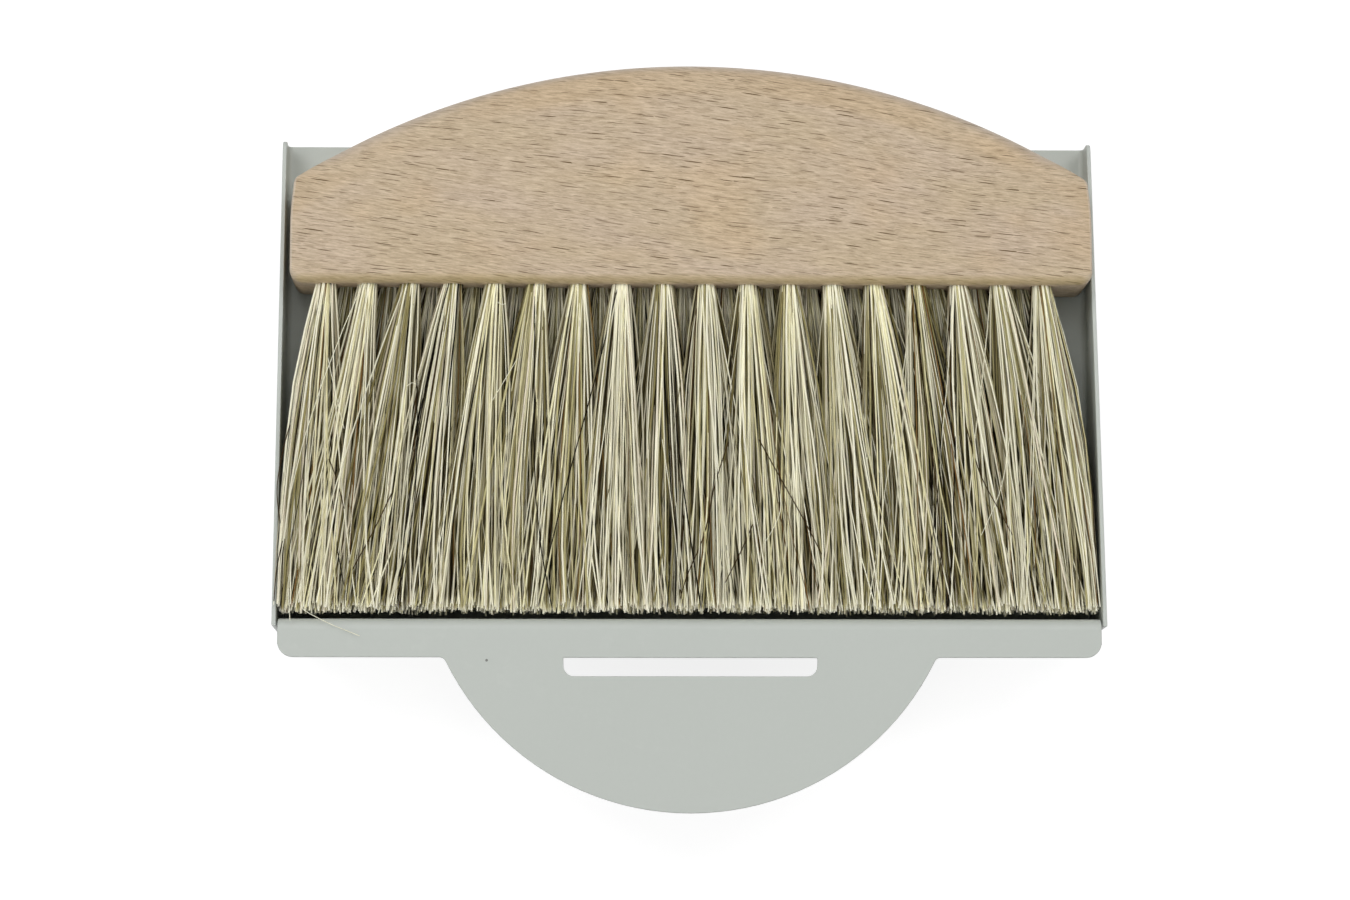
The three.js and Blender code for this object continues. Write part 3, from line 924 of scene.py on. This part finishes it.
def block_rings():
    """Rings from the back of the block to its front: (place, height, roll, rim, tuft edge)."""
    rings = []
    for step in range(BACK_STEPS + 1):
        angle = math.pi / 2 * step / BACK_STEPS
        inset = BACK_ROUND * (1 - math.sin(angle))
        z = block_low.z + BACK_ROUND * (1 - math.cos(angle))
        rings.append([(point - inset * out, z, 0.0, 0.0, 0.0) for point, out, *_ in outline])
    for step in range(ROLL_STEPS + 1):
        share = step / ROLL_STEPS
        angle = math.pi / 2 * share
        ring = []
        for point, out, width, depth, on_bow in outline:
            inset = width * (1 - math.cos(angle))
            z = block_high.z - depth * (1 - math.sin(angle))
            round_here = (1 - on_bow) * math.sin(math.pi * share)
            # Where the painted highlight and the painted reflection of the bristles go.
            rim = round_here * out.x**2
            tuft_edge = round_here * max(-out.y, 0.0)
            ring.append((point - inset * out, z, on_bow * (1 - share), rim, tuft_edge))
        rings.append(ring)
    return rings


def ring_mesh(rings):
    work = bmesh.new()
    layers = [work.verts.layers.float.new(name) for name in ("roll", "rim", "tuft_edge")]
    made = []
    for ring in rings:
        row = []
        for point, z, *stored_values in ring:
            vert = work.verts.new((point.x + bow_centre.x, point.y, z))
            for layer, value in zip(layers, stored_values):
                vert[layer] = value
            row.append(vert)
        made.append(row)
    for low, high in zip(made, made[1:]):
        for i in range(len(low)):
            after = (i + 1) % len(low)
            work.faces.new((low[i], low[after], high[after], high[i]))
    work.faces.new(reversed(made[0]))
    work.faces.new(made[-1])
    return mesh_of(work, "block")


def make_block():
    mesh = ring_mesh(block_rings())
    mesh.materials.append(beech)
    block = add_object("block", mesh)
    drills = make_drills()
    cut = block.modifiers.new("drilled", "BOOLEAN")
    cut.object = drills
    cut.operation = "DIFFERENCE"
    cut.solver = "EXACT"
    bake_modifiers(block)
    bpy.data.objects.remove(drills)
    store_edges(block.data, *BLOCK_WEAR_DEGREES)
    return weight_normals(block, BLOCK_SHARP_DEGREES)


block = make_block()
place_piece(block, "brush", "beech", "brush_block")

# %% [markdown]
# ## The bristles
#
# A tuft is many stiff fibres, folded in half and pinned in a hole. Their ends come out of it
# as a tight round bundle and spread as a straight cone, so that neighbouring tufts cross each
# other well before the trimmed tips. A hair system could draw them, but it gives no solid mesh. A
# Geometry Nodes tree is a better match: it starts from one point for each tuft, duplicates the
# point once for every fibre, sends each copy from its place in the hole to its own place at the
# tip, and sweeps a small round along that path. What a maker would choose, such as the count and
# thickness of the fibres and how far they stray, are the inputs of the tree.

# %% Inputs of the bristle tree
BRISTLE_INPUTS = {
    "Tufts": "Geometry",
    "Fibres in a Tuft": 150,
    "Steps": 7,
    "Tuft Radius": 2.5 * MM,
    "Fan Width": 12.5 * MM,
    "Fan Height": 5.2 * MM,
    "Root Depth": 3 * MM,
    "Fibre Radius": 0.26 * MM,
    "Trim Scatter": 1.3 * MM,
    "Tip Scatter": 2.4 * MM,
    "Clump Scatter": 14 * MM,
    "Wander": 1.5 * MM,
    "Splay": 26 * MM,
    "Cross": 4 * MM,
    "Dark Share": 0.07,
    "Stray Share": 0.09,
    "Stray Reach": 17 * MM,
    # The next three inputs set the painted shade of a row.
    "Shade": 1.0,
    "Covered Shade": 1.0,
    "Open Side": 1.0,
    "Lowest Tip": 1.7 * MM,
    "Highest Tip": 32.4 * MM,
    "Wall Place": 118.5 * MM,
    "Wall Give": 6 * MM,
    "Rim at Middle": 23.7 * MM,
    "Rim Slope": -0.147,
    "Over the Rim": 1.3 * MM,
    "Seed": 1,
    "Material": "Material",
}
print("bristle tree inputs:", len(BRISTLE_INPUTS))

# %% Attributes and random draws of the fibres
DRAWS = (
    "stray", "tip x", "tip y", "tip z", "bow x", "bow z", "tone", "thickness", "fan", "wave x",
    "wave z", "stray tone", "cross", "dark", "dark tone",
)


def stored(geometry, name, value, data_type="FLOAT"):
    inputs = {"Geometry": geometry, "Name": name, "Value": value}
    settings = {"data_type": data_type, "domain": "POINT"}
    made = node(geometry.id_data, "GeometryNodeStoreNamedAttribute", inputs, **settings)
    return made.outputs["Geometry"]


def named(tree, name, data_type="FLOAT"):
    made = node(tree, "GeometryNodeInputNamedAttribute", {"Name": name}, data_type=data_type)
    return made.outputs["Attribute"]


def drawn(given, draw, low=-1.0, high=1.0):
    """A random number for each fibre. Each draw adds its own place in the list to the seed."""
    seed = plus(given["Seed"], float(DRAWS.index(draw) + 1))
    inputs = {2: low, 3: high, "Seed": seed}
    return node(seed.id_data, "FunctionNodeRandomValue", inputs, data_type="FLOAT").outputs[1]


def spread(given, draw, reach):
    return times(drawn(given, draw), reach)


def tuft_noise(disc, scale, output):
    """A noise over the places of a tuft's fibres, different for every tuft."""
    inputs = {"Vector": scaled(disc, scale), "W": named(disc.id_data, "turn"), "Scale": 1.0}
    inputs["Detail"] = 1.0
    made = node(disc.id_data, "ShaderNodeTexNoise", inputs, noise_dimensions="4D")
    return made.outputs[output]


def tuft_pull(disc, scale):
    """The same noise as a direction, around zero."""
    return vectors("SUBTRACT", tuft_noise(disc, scale, "Color"), (0.5, 0.5, 0.5))


print("random draws for a fibre:", len(DRAWS))

# %% [markdown]
# ### Where each fibre starts and ends
#
# Places in the hole follow a sunflower spiral, which fills a disc evenly with any number of
# points. The same spiral, scaled to the fan's width and height, gives the tips, so neighbours
# stay neighbours. Three things then loosen it: a clump noise that pulls close fibres together
# and opens dark slits, a scatter for every tip, and a few thin strays that cross the others near
# the top of the mat. Towards its tip each fibre also splays out of its line, so that neighbours
# cross. The tone of a fibre is random, with a noise that gives small bundles of fibres the same
# kind.


# %% First part of the tree: the tip of a fibre
GOLDEN_ANGLE = math.pi * (3 - math.sqrt(5))
CLUMP_SCALES = (2.3, 6.0)
FINE_CLUMP_SHARE = 0.8
CLUMP_PULL = (1.0, 0.15, 0.4)
HEIGHT_SHARE = 0.6
STRAY_RISE = 3 * MM


def spiral(tree, given, order):
    """The place of a fibre in its tuft, in a disc of radius 1 that faces along Y."""
    radial = maths("SQRT", divided(order, given["Fibres in a Tuft"]))
    angle = plus(times(order, GOLDEN_ANGLE), named(tree, "turn"))
    return combined(times(radial, maths("COSINE", angle)), 0.0, times(radial, maths("SINE", angle)))


def tip_of(tree, given, disc, stray):
    fan = combined(given["Fan Width"], 0.0, given["Fan Height"])
    coarse, fine = (tuft_pull(disc, scale) for scale in CLUMP_SCALES)
    pulled = vectors("ADD", coarse, scaled(fine, FINE_CLUMP_SHARE))
    pulled = vectors("MULTIPLY", pulled, CLUMP_PULL)
    scatter_x = blended(stray, given["Tip Scatter"], given["Stray Reach"], "FLOAT")
    scatter_z = times(given["Tip Scatter"], HEIGHT_SHARE)
    loose_x = spread(given, "tip x", scatter_x)
    loose_y = spread(given, "tip y", given["Trim Scatter"])
    loose_z = plus(spread(given, "tip z", scatter_z), times(stray, STRAY_RISE))
    tip = vectors("ADD", named(tree, "tip", "FLOAT_VECTOR"), vectors("MULTIPLY", disc, fan))
    tip = vectors("ADD", tip, scaled(pulled, given["Clump Scatter"]))
    return vectors("ADD", tip, combined(loose_x, loose_y, loose_z))


print("golden angle:", round(math.degrees(GOLDEN_ANGLE), 1), "degrees")

# %% First part of the tree: the kind and the shade of a fibre
BUNDLE_SCALE = 2.6
BUNDLE_TONE = 0.8
PALE_TONES = (0.08, 1.0)
LEAST_PALE_TONE = 0.1
DARK_TONES = (0.0, 0.08)
DARK_STRAYS_BELOW = -0.5
END_TUFTS = (88 * MM, 103 * MM)


def tone_of(tree, given, disc, stray, dark):
    bundle = minus(tuft_noise(disc, BUNDLE_SCALE, "Fac"), 0.5)
    shift = plus(times(bundle, BUNDLE_TONE), named(tree, "tuft_tone"))
    pale = maths("MAXIMUM", plus(drawn(given, "tone", *PALE_TONES), shift), LEAST_PALE_TONE)
    tone = blended(dark, pale, drawn(given, "dark tone", *DARK_TONES), "FLOAT")
    stray_tone = maths("GREATER_THAN", drawn(given, "stray tone"), DARK_STRAYS_BELOW)
    return blended(stray, tone, stray_tone, "FLOAT")


def towards_open_sides(given, disc, mouth):
    """How far a fibre lies towards its row's open side, and towards the side of an end tuft."""
    across = separated(disc)
    mouth_x = separated(mouth)["X"]
    near_end = ranged(maths("ABSOLUTE", mouth_x), *END_TUFTS)
    endwards = times(times(across["X"], maths("SIGN", mouth_x)), near_end)
    outwards = maths("MAXIMUM", times(across["Z"], given["Open Side"]), endwards)
    return outwards, endwards


print("end tufts:", [round(place / MM) for place in END_TUFTS], "mm from the middle")

# %% First part of the tree: all of it
SWERVE_SCALE = 4.2
SWERVE_PULL = (-1.0, 0.0, 0.12)
THIN = 0.62
THICKNESSES = (0.6, 1.4)
FAN_POWERS = (0.95, 1.4)
# Painted shade, from the deep side of a tuft to its open side.
DEEP_TO_OPEN = (-0.42, 0.85)
DEEPEST_SHADE = 0.02
OPEN_END = (0.1, 0.7)


def wandering(given, draw, reach):
    return combined(spread(given, draw + " x", reach), 0.0, spread(given, draw + " z", reach))


def spread_fibres(tree, given):
    """One point for each fibre, with all that its path and its colour need stored on it."""
    copy_inputs = {"Geometry": given["Tufts"], "Amount": given["Fibres in a Tuft"]}
    copies = node(tree, "GeometryNodeDuplicateElements", copy_inputs, domain="POINT").outputs
    disc = spiral(tree, given, plus(copies["Duplicate Index"], 0.5))
    mouth = node(tree, "GeometryNodeInputPosition").outputs["Position"]
    stray = maths("LESS_THAN", drawn(given, "stray", 0.0, 1.0), given["Stray Share"])
    dark = maths("LESS_THAN", drawn(given, "dark", 0.0, 1.0), given["Dark Share"])
    thin = ranged(maths("MAXIMUM", stray, dark), 0.0, 1.0, 1.0, THIN)
    swerve = vectors("MULTIPLY", tuft_pull(disc, SWERVE_SCALE), SWERVE_PULL)
    crossing = combined(spread(given, "cross", given["Cross"]), 0.0, 0.0)
    outwards, endwards = towards_open_sides(given, disc, mouth)
    directions = {
        "root": vectors("ADD", mouth, scaled(disc, given["Tuft Radius"])),
        "end": tip_of(tree, given, disc, stray),
        "bow": wandering(given, "bow", given["Wander"]),
        "wave": scaled(wandering(given, "wave", given["Wander"]), 0.5),
        "splay": vectors("ADD", scaled(swerve, given["Splay"]), crossing),
    }
    numbers = {
        "tone": tone_of(tree, given, disc, stray, dark),
        "thickness": times(drawn(given, "thickness", *THICKNESSES), thin),
        "open_end": ranged(endwards, *OPEN_END, smooth=True),
        # painted shade, darker away from the open sides
        "shade": ranged(outwards, *DEEP_TO_OPEN, DEEPEST_SHADE, given["Shade"], smooth=True),
        "fan": drawn(given, "fan", *FAN_POWERS),
    }
    points = copies["Geometry"]
    for name, value in directions.items():
        points = stored(points, name, value, "FLOAT_VECTOR")
    for name, value in numbers.items():
        points = stored(points, name, value)
    return points


print("a fibre's thickness varies from", THICKNESSES[0], "to", THICKNESSES[1])

# %% [markdown]
# ### The path of a fibre
#
# A straight line with a few steps is set on every point and then bent: it runs from its place
# just inside the hole out to its tip, with a slight bow and a slight wave. Fibres that would run
# into a side wall of the pan come up to it more and more slowly instead. Where a fibre lies above
# the sloping rim, it may hang over it.


# %% Second part of the tree: paths pressed by the walls
OVER_RIM = (0.3 * MM, 1.1 * MM)
LOOSE_ALONG = (0.5, 0.95)
COVERED_ALONG = (0.2, 0.55)
SPLAY_POWER = 3.0


def pressed_by_walls(given, along, x, y, z):
    """A fibre's X, drawn in so that it comes up to the wall more and more slowly."""
    rim = plus(given["Rim at Middle"], times(y, given["Rim Slope"]))
    above = ranged(minus(z, rim), *OVER_RIM, smooth=True)
    loose = times(above, ranged(along, *LOOSE_ALONG, smooth=True))
    limit = plus(given["Wall Place"], times(loose, given["Over the Rim"]))
    free = minus(limit, given["Wall Give"])
    distance = maths("ABSOLUTE", x)
    past = maths("MAXIMUM", minus(distance, free), 0.0)
    fading = maths("EXPONENT", divided(times(past, -1.0), given["Wall Give"]))
    given_way = times(minus(1.0, fading), given["Wall Give"])
    kept = plus(maths("MINIMUM", distance, free), given_way)
    return times(kept, maths("SIGN", x))


def bend_fibres(tree, given, lines):
    along = node(tree, "GeometryNodeSplineParameter").outputs["Factor"]
    root = named(tree, "root", "FLOAT_VECTOR")
    end = named(tree, "end", "FLOAT_VECTOR")
    fanned = minus(1.0, maths("POWER", minus(1.0, along), named(tree, "fan")))
    path = blended(fanned, root, end, "VECTOR")
    bends = {
        "bow": maths("SINE", times(along, math.pi)),
        "wave": maths("SINE", times(along, 2 * math.pi)),
        "splay": maths("POWER", along, SPLAY_POWER),
    }
    for name, share in bends.items():
        path = vectors("ADD", path, scaled(named(tree, name, "FLOAT_VECTOR"), share))
    axes = separated(path)
    inner_y = plus(separated(root)["Y"], given["Root Depth"])
    y = blended(along, inner_y, separated(end)["Y"], "FLOAT")
    z = maths("MAXIMUM", axes["Z"], given["Lowest Tip"])
    z = maths("MINIMUM", z, given["Highest Tip"])
    x = pressed_by_walls(given, along, axes["X"], y, z)
    moved_inputs = {"Geometry": lines, "Position": combined(x, y, z)}
    moved = node(tree, "GeometryNodeSetPosition", moved_inputs).outputs["Geometry"]
    # Painted shade: a covered row darkens along its length, but not on the open side of an end
    # tuft.
    covered = ranged(along, *COVERED_ALONG, 1.0, given["Covered Shade"], smooth=True)
    covered = maths("MAXIMUM", covered, named(tree, "open_end"))
    moved = stored(moved, "shade", times(named(tree, "shade"), covered))
    return stored(moved, "along", along)


print("fibres may hang over the rim", round(OVER_RIM[1] / MM, 1), "mm above it")

# %% [markdown]
# ### The solid of a fibre
#
# The bent line gets its thickness last, from a four-sided section that is smooth shaded, so it
# looks round and still costs few faces. The thickness drawn for each fibre scales the section.


# %% Third part of the tree, and all three together
SECTION_SIDES = 4
TIP_TAPER = 0.9


def sweep_fibres(tree, curves, radius):
    taper = ranged(named(tree, "along"), 0.0, 1.0, 1.0, TIP_TAPER)
    circle_inputs = {"Resolution": SECTION_SIDES, "Radius": radius}
    section = node(tree, "GeometryNodeCurvePrimitiveCircle", circle_inputs).outputs["Curve"]
    swept_inputs = {"Curve": curves, "Profile Curve": section, "Fill Caps": True}
    swept_inputs["Scale"] = times(named(tree, "thickness"), taper)
    swept = node(tree, "GeometryNodeCurveToMesh", swept_inputs).outputs["Mesh"]
    return node(tree, "GeometryNodeSetShadeSmooth", {"Geometry": swept}).outputs["Geometry"]


def finish_tree(tree, given, result, solids):
    real = node(tree, "GeometryNodeRealizeInstances", {"Geometry": solids}).outputs["Geometry"]
    finish_inputs = {"Geometry": real, "Material": given["Material"]}
    finished = node(tree, "GeometryNodeSetMaterial", finish_inputs).outputs["Geometry"]
    feed(result, "Bristles", finished)


def make_bristle_tree():
    outputs = {"Bristles": "Geometry"}
    tree, given, result = new_group("bristles", "GeometryNodeTree", BRISTLE_INPUTS, outputs)
    line = node(tree, "GeometryNodeCurvePrimitiveLine").outputs["Curve"]
    step_inputs = {"Curve": line, "Count": given["Steps"]}
    stepped = node(tree, "GeometryNodeResampleCurve", step_inputs).outputs["Curve"]
    set_inputs = {"Points": spread_fibres(tree, given), "Instance": stepped}
    instances = node(tree, "GeometryNodeInstanceOnPoints", set_inputs).outputs["Instances"]
    lines = node(tree, "GeometryNodeRealizeInstances", {"Geometry": instances}).outputs["Geometry"]
    solids = sweep_fibres(tree, bend_fibres(tree, given, lines), given["Fibre Radius"])
    finish_tree(tree, given, result, solids)
    return tree


bristle_tree = make_bristle_tree()
print("bristle tree:", len(bristle_tree.nodes), "nodes")

# %% [markdown]
# ### From tufts to rows
#
# Each row of tufts is one piece. Its points get a tip to aim at, a turn and a tone of their own,
# so that no two tufts look alike. The tufts lean outwards, more and more towards the ends of the
# row. Rows are stacked in the pan between its floor and its rim. The lower rows are a little
# shorter, so that only the front row shows along the trimmed edge, and fewer fibres are enough.
# Painted shade lies deep in the mat, where shadow falls between the fibres, so each row says which
# of its sides is open: the upper side of the first two, and the underside of the lowest. The middle
# row is painted a little darker all over, and darker still along its length, where the front row
# covers it.

# %% Measure the fibre mat on the frame
pan_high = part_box("pan_tray")[1]
SHEET = 1.2 * MM
MOUTH_HEIGHT = 10.5 * MM
WALL_END_Y = -56.45 * MM
tip_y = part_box("bristle_row_front")[0].y
rim_slope = (MOUTH_HEIGHT - pan_high.z) / (pan_high.y - WALL_END_Y)
MOUTH_Y = 89.75 * MM
LEAN_AT_TIPS = 1.13
FURTHEST_AIM = 111 * MM
UPWARDS = 1.0
DOWNWARDS = -1.0
TIP_JITTER = 1.6
HEIGHT_JITTER = 0.6
TONE_JITTER = 0.07
# shade, covered_shade and open_side set the painted shade of each row.
ROWS = {
    "front": {
        "tip_z": 26.8, "fan_height": 5.0, "behind": 0.4, "fibres": 150,
        "shade": 1.0, "covered_shade": 1.0, "open_side": UPWARDS, "seed": 11,
    },
    "middle": {
        "tip_z": 20.5, "fan_height": 6.0, "behind": 1.6, "fibres": 130,
        "shade": 0.8, "covered_shade": 0.4, "open_side": UPWARDS, "seed": 23,
    },
    "back": {
        "tip_z": 9.4, "fan_height": 5.0, "behind": 2.8, "fibres": 90,
        "shade": 0.95, "covered_shade": 1.0, "open_side": DOWNWARDS, "seed": 37,
    },
}
print("fibres reach", round((tuft_face_y - tip_y) / MM, 1), "mm out of the block")


# %% Make the rows of bristles
def tuft_points(row):
    """A mesh with one vertex for each tuft, and what the tree needs to know about it."""
    mouths = tufts_of(row)
    chance = random.Random(ROWS[row]["seed"])
    mesh = bpy.data.meshes.new(f"tufts_{row}")
    mesh.from_pydata([tuple(mouth) for mouth in mouths], [], [])
    for name, kind in (("tip", "FLOAT_VECTOR"), ("turn", "FLOAT"), ("tuft_tone", "FLOAT")):
        mesh.attributes.new(name, kind, "POINT")
    told = mesh.attributes
    for i, mouth in enumerate(mouths):
        x = min(max(mouth.x * LEAN_AT_TIPS, -FURTHEST_AIM), FURTHEST_AIM)
        x += chance.uniform(-TIP_JITTER, TIP_JITTER) * MM
        z = (ROWS[row]["tip_z"] + chance.uniform(-HEIGHT_JITTER, HEIGHT_JITTER)) * MM
        told["tip"].data[i].vector = (x, tip_y + ROWS[row]["behind"] * MM, z)
        told["turn"].data[i].value = chance.uniform(0, 100)
        told["tuft_tone"].data[i].value = chance.uniform(-TONE_JITTER, TONE_JITTER)
    return mesh


def set_inputs(modifier, values):
    """Sets a modifier's inputs, which Blender knows by their identifiers and not by their names."""
    found = modifier.node_group.interface.items_tree
    known = {item.name: item.identifier for item in found if item.in_out == "INPUT"}
    for name, value in values.items():
        modifier[known[name]] = value


def make_row(row):
    piece = add_object(f"bristles_{row}", tuft_points(row))
    grown = piece.modifiers.new("bristles", "NODES")
    grown.node_group = bristle_tree
    set_inputs(grown, {
        "Fibres in a Tuft": ROWS[row]["fibres"],
        "Fan Height": ROWS[row]["fan_height"] * MM,
        "Shade": ROWS[row]["shade"],
        "Covered Shade": ROWS[row]["covered_shade"],
        "Open Side": ROWS[row]["open_side"],
        "Lowest Tip": SHEET + 0.4 * MM,
        "Highest Tip": pan_high.z + 0.3 * MM,
        "Wall Place": pan_high.x - SHEET - 0.3 * MM,
        "Rim at Middle": MOUTH_HEIGHT - rim_slope * MOUTH_Y,
        "Rim Slope": rim_slope,
        "Seed": ROWS[row]["seed"],
        "Material": plant_fibre,
    })
    return bake_modifiers(piece)


for row in ROW_NAMES:
    place_piece(make_row(row), "brush", "bristle", f"bristle_row_{row}")

# %% [markdown]
# ### Loose hairs
#
# A few thin hairs have come out of line. Most lie across the top of the mat. At its left end
# several are dark and some lie over the wall, and one hangs over the back of the pan. Their
# places follow no rule, so each is a short list of points, given one by one, seen from above. They
# go through a second, smaller tree that draws a smooth curve through the points and gives it the
# same kind of section as the fibres have.

# %% Make the loose hairs
DARK_HAIR = 0.02
PALE_HAIR = 1.0
MAT_TOP_AT_ROOT = 23.6 * MM
MAT_TOP_AT_TIP = 32.7 * MM
MAT_BULGE = 0.9 * MM
HAIRS = (
    (DARK_HAIR, ((20, -2), (27, -15), (33, -26), (38, -36))),
    (DARK_HAIR, ((11, -3), (7, -16), (4, -30), (-1, -42), (-3, -49))),
    (DARK_HAIR, ((18, -27), (15, -34), (12, -40), (10, -44))),
    (DARK_HAIR, ((80, 3), (84, -12), (90, -24), (93, -30))),
    (PALE_HAIR, ((26, -18), (26, -23), (24, -28), (21, -33))),
    (PALE_HAIR, ((-105, 22), (-103, 13), (-100, 1))),
    (PALE_HAIR, ((-58, 8), (-50, 22))),
    (PALE_HAIR, ((-12, -5), (-12, -25))),
    (PALE_HAIR, ((-8, -2), (-5, -24), (-3, -46))),
    (PALE_HAIR, ((93, 0), (90, -16), (84, -30))),
    (PALE_HAIR, ((-82, 13.6), (-80.6, 14.6), (-79.4, 14.2))),
    (PALE_HAIR, ((-56, 39), (-54.6, 38.2), (-53.4, 38.6))),
    (PALE_HAIR, ((-111.5, -51.4), (-109.2, -53), (-103.1, -56.1), (-98.9, -57.8), (-94.7, -59.5))),
    (PALE_HAIR, ((-115.2, -46), (-115, -50), (-114.6, -55))),
    (DARK_HAIR, ((-86, -18.1), (-90.9, -28.7), (-95.8, -38.1), (-99, -44.4))),
    (DARK_HAIR, ((-104.2, -8.1), (-101.9, -13.9), (-99.6, -22.7))),
    (DARK_HAIR, ((-115.6, 2), (-117.1, -3.9), (-118.6, -12.4), (-118.9, -19), (-117.8, -27))),
    (DARK_HAIR, ((-117.1, -32.1), (-118.6, -40), (-119.3, -49.6))),
)
HAIR_THICKNESS = {DARK_HAIR: 0.9, PALE_HAIR: 0.62}


def make_hair_tree():
    inputs = {
        "Paths": "Geometry",
        "Steps": 14,
        "Hair Radius": 0.18 * MM,
        "Material": "Material",
    }
    outputs = {"Bristles": "Geometry"}
    tree, given, result = new_group("loose hairs", "GeometryNodeTree", inputs, outputs)
    paths = node(tree, "GeometryNodeMeshToCurve", {"Mesh": given["Paths"]}).outputs["Curve"]
    smooth = node(tree, "GeometryNodeCurveSplineType", {"Curve": paths}, spline_type="CATMULL_ROM")
    step_inputs = {"Curve": smooth.outputs["Curve"], "Count": given["Steps"]}
    stepped = node(tree, "GeometryNodeResampleCurve", step_inputs).outputs["Curve"]
    along = node(tree, "GeometryNodeSplineParameter").outputs["Factor"]
    hairs = stored(stepped, "along", along)
    finish_tree(tree, given, result, sweep_fibres(tree, hairs, given["Hair Radius"]))
    return tree


def mat_top(y):
    share = min((tuft_face_y - y) / (tuft_face_y - tip_y), 1.0)
    bulge = 4 * MAT_BULGE * share * (1 - share)
    return MAT_TOP_AT_ROOT + (MAT_TOP_AT_TIP - MAT_TOP_AT_ROOT) * share + bulge


def make_loose_hairs():
    points = []
    edges = []
    tones = []
    for tone, path in HAIRS:
        edges += [(len(points) + i, len(points) + i + 1) for i in range(len(path) - 1)]
        points += [(x * MM, y * MM, mat_top(y * MM)) for x, y in path]
        tones += [tone] * len(path)
    mesh = bpy.data.meshes.new("loose_hairs")
    mesh.from_pydata(points, edges, [])
    stored_values = {
        "tone": tones,
        "thickness": [HAIR_THICKNESS[tone] for tone in tones],
        "shade": [1.0] * len(tones),
    }
    for name, values in stored_values.items():
        mesh.attributes.new(name, "FLOAT", "POINT").data.foreach_set("value", values)
    piece = add_object("loose_hairs", mesh)
    swept = piece.modifiers.new("hairs", "NODES")
    swept.node_group = make_hair_tree()
    set_inputs(swept, {"Material": plant_fibre})
    return bake_modifiers(piece)


place_piece(make_loose_hairs(), "brush", "bristle")

# %% [markdown]
# ## Floor and light
#
# The object lies on a white sheet among large soft lights, as for a catalogue. More of the light
# comes from behind the brush than from in front of the handle, so the floor of the pan is bright
# behind the block, and the side of the block over the tufts is in half shade. The paper stays
# white without more light: most of its brightness is given to camera, mirror and glass rays alone,
# and the rest is lit, so it still takes the object's shadow.

# %% Make the floor
FLOOR_SIZE = 6.0
FLOOR_DROP = 0.2 * MM
FLOOR_GLOW = 0.82
FLOOR_SHADE = 0.33
WHITE = (1.0, 1.0, 1.0, 1.0)


def make_floor_paper():
    made, tree, shader, _ = new_material("floor_paper", Roughness=0.9, Specular_IOR_Level=0.1)
    shader.inputs["Base Color"].default_value = (FLOOR_SHADE, FLOOR_SHADE, FLOOR_SHADE, 1.0)
    rays = node(tree, "ShaderNodeLightPath").outputs
    seen = plus(rays["Is Camera Ray"], rays["Is Glossy Ray"])
    seen = maths("ADD", seen, rays["Is Transmission Ray"], clamp=True)
    shader.inputs["Emission Color"].default_value = WHITE
    feed(shader, "Emission Strength", times(seen, FLOOR_GLOW))
    return made


def make_floor():
    half = FLOOR_SIZE / 2
    corners = [(-half, -half), (half, -half), (half, half), (-half, half)]
    mesh = bpy.data.meshes.new("floor")
    mesh.from_pydata([(x, y, -FLOOR_DROP) for x, y in corners], [], [(0, 1, 2, 3)])
    mesh.materials.append(make_floor_paper())
    floor = add_object("floor", mesh)


make_floor()
print("floor:", FLOOR_SIZE, "m wide")

# %% Light the scene
WORLD_SHARE = 0.1
SOFTBOX_SIZE = 0.9
SOFTBOXES = (
    ("back_left_softbox", (-1.0, 0.9, 1.3), 0.23),
    ("back_right_softbox", (1.0, 0.9, 1.3), 0.20),
    ("back_softbox", (0.0, 1.1, 1.2), 0.06),
    ("top_softbox", (0.0, 0.35, 1.7), 0.09),
    ("front_softbox", (-0.1, -0.8, 1.5), 0.06),
    ("front_left_softbox", (-0.95, -0.85, 1.1), 0.17),
    ("front_right_softbox", (0.95, -0.85, 1.1), 0.11),
)


def add_softbox(name, place, share):
    """A square light that faces the object and gives a share of the light on a level surface."""
    lamp = bpy.data.lights.new(name, "AREA")
    lamp.size = SOFTBOX_SIZE
    away = Vector(place)
    lamp.energy = share * math.pi**2 * away.length**3 / away.z
    light = bpy.data.objects.new(name, lamp)
    light.location = away
    light.rotation_euler = away.to_track_quat("Z", "Y").to_euler()
    bpy.context.scene.collection.objects.link(light)


def add_world():
    world = bpy.data.worlds.new("studio")
    world.use_nodes = True
    background = world.node_tree.nodes["Background"]
    background.inputs["Color"].default_value = WHITE
    background.inputs["Strength"].default_value = WORLD_SHARE
    bpy.context.scene.world = world


add_world()
for softbox in SOFTBOXES:
    add_softbox(*softbox)
bpy.context.scene.view_settings.view_transform = "Standard"
print("light:", len(SOFTBOXES), "softboxes and the room")
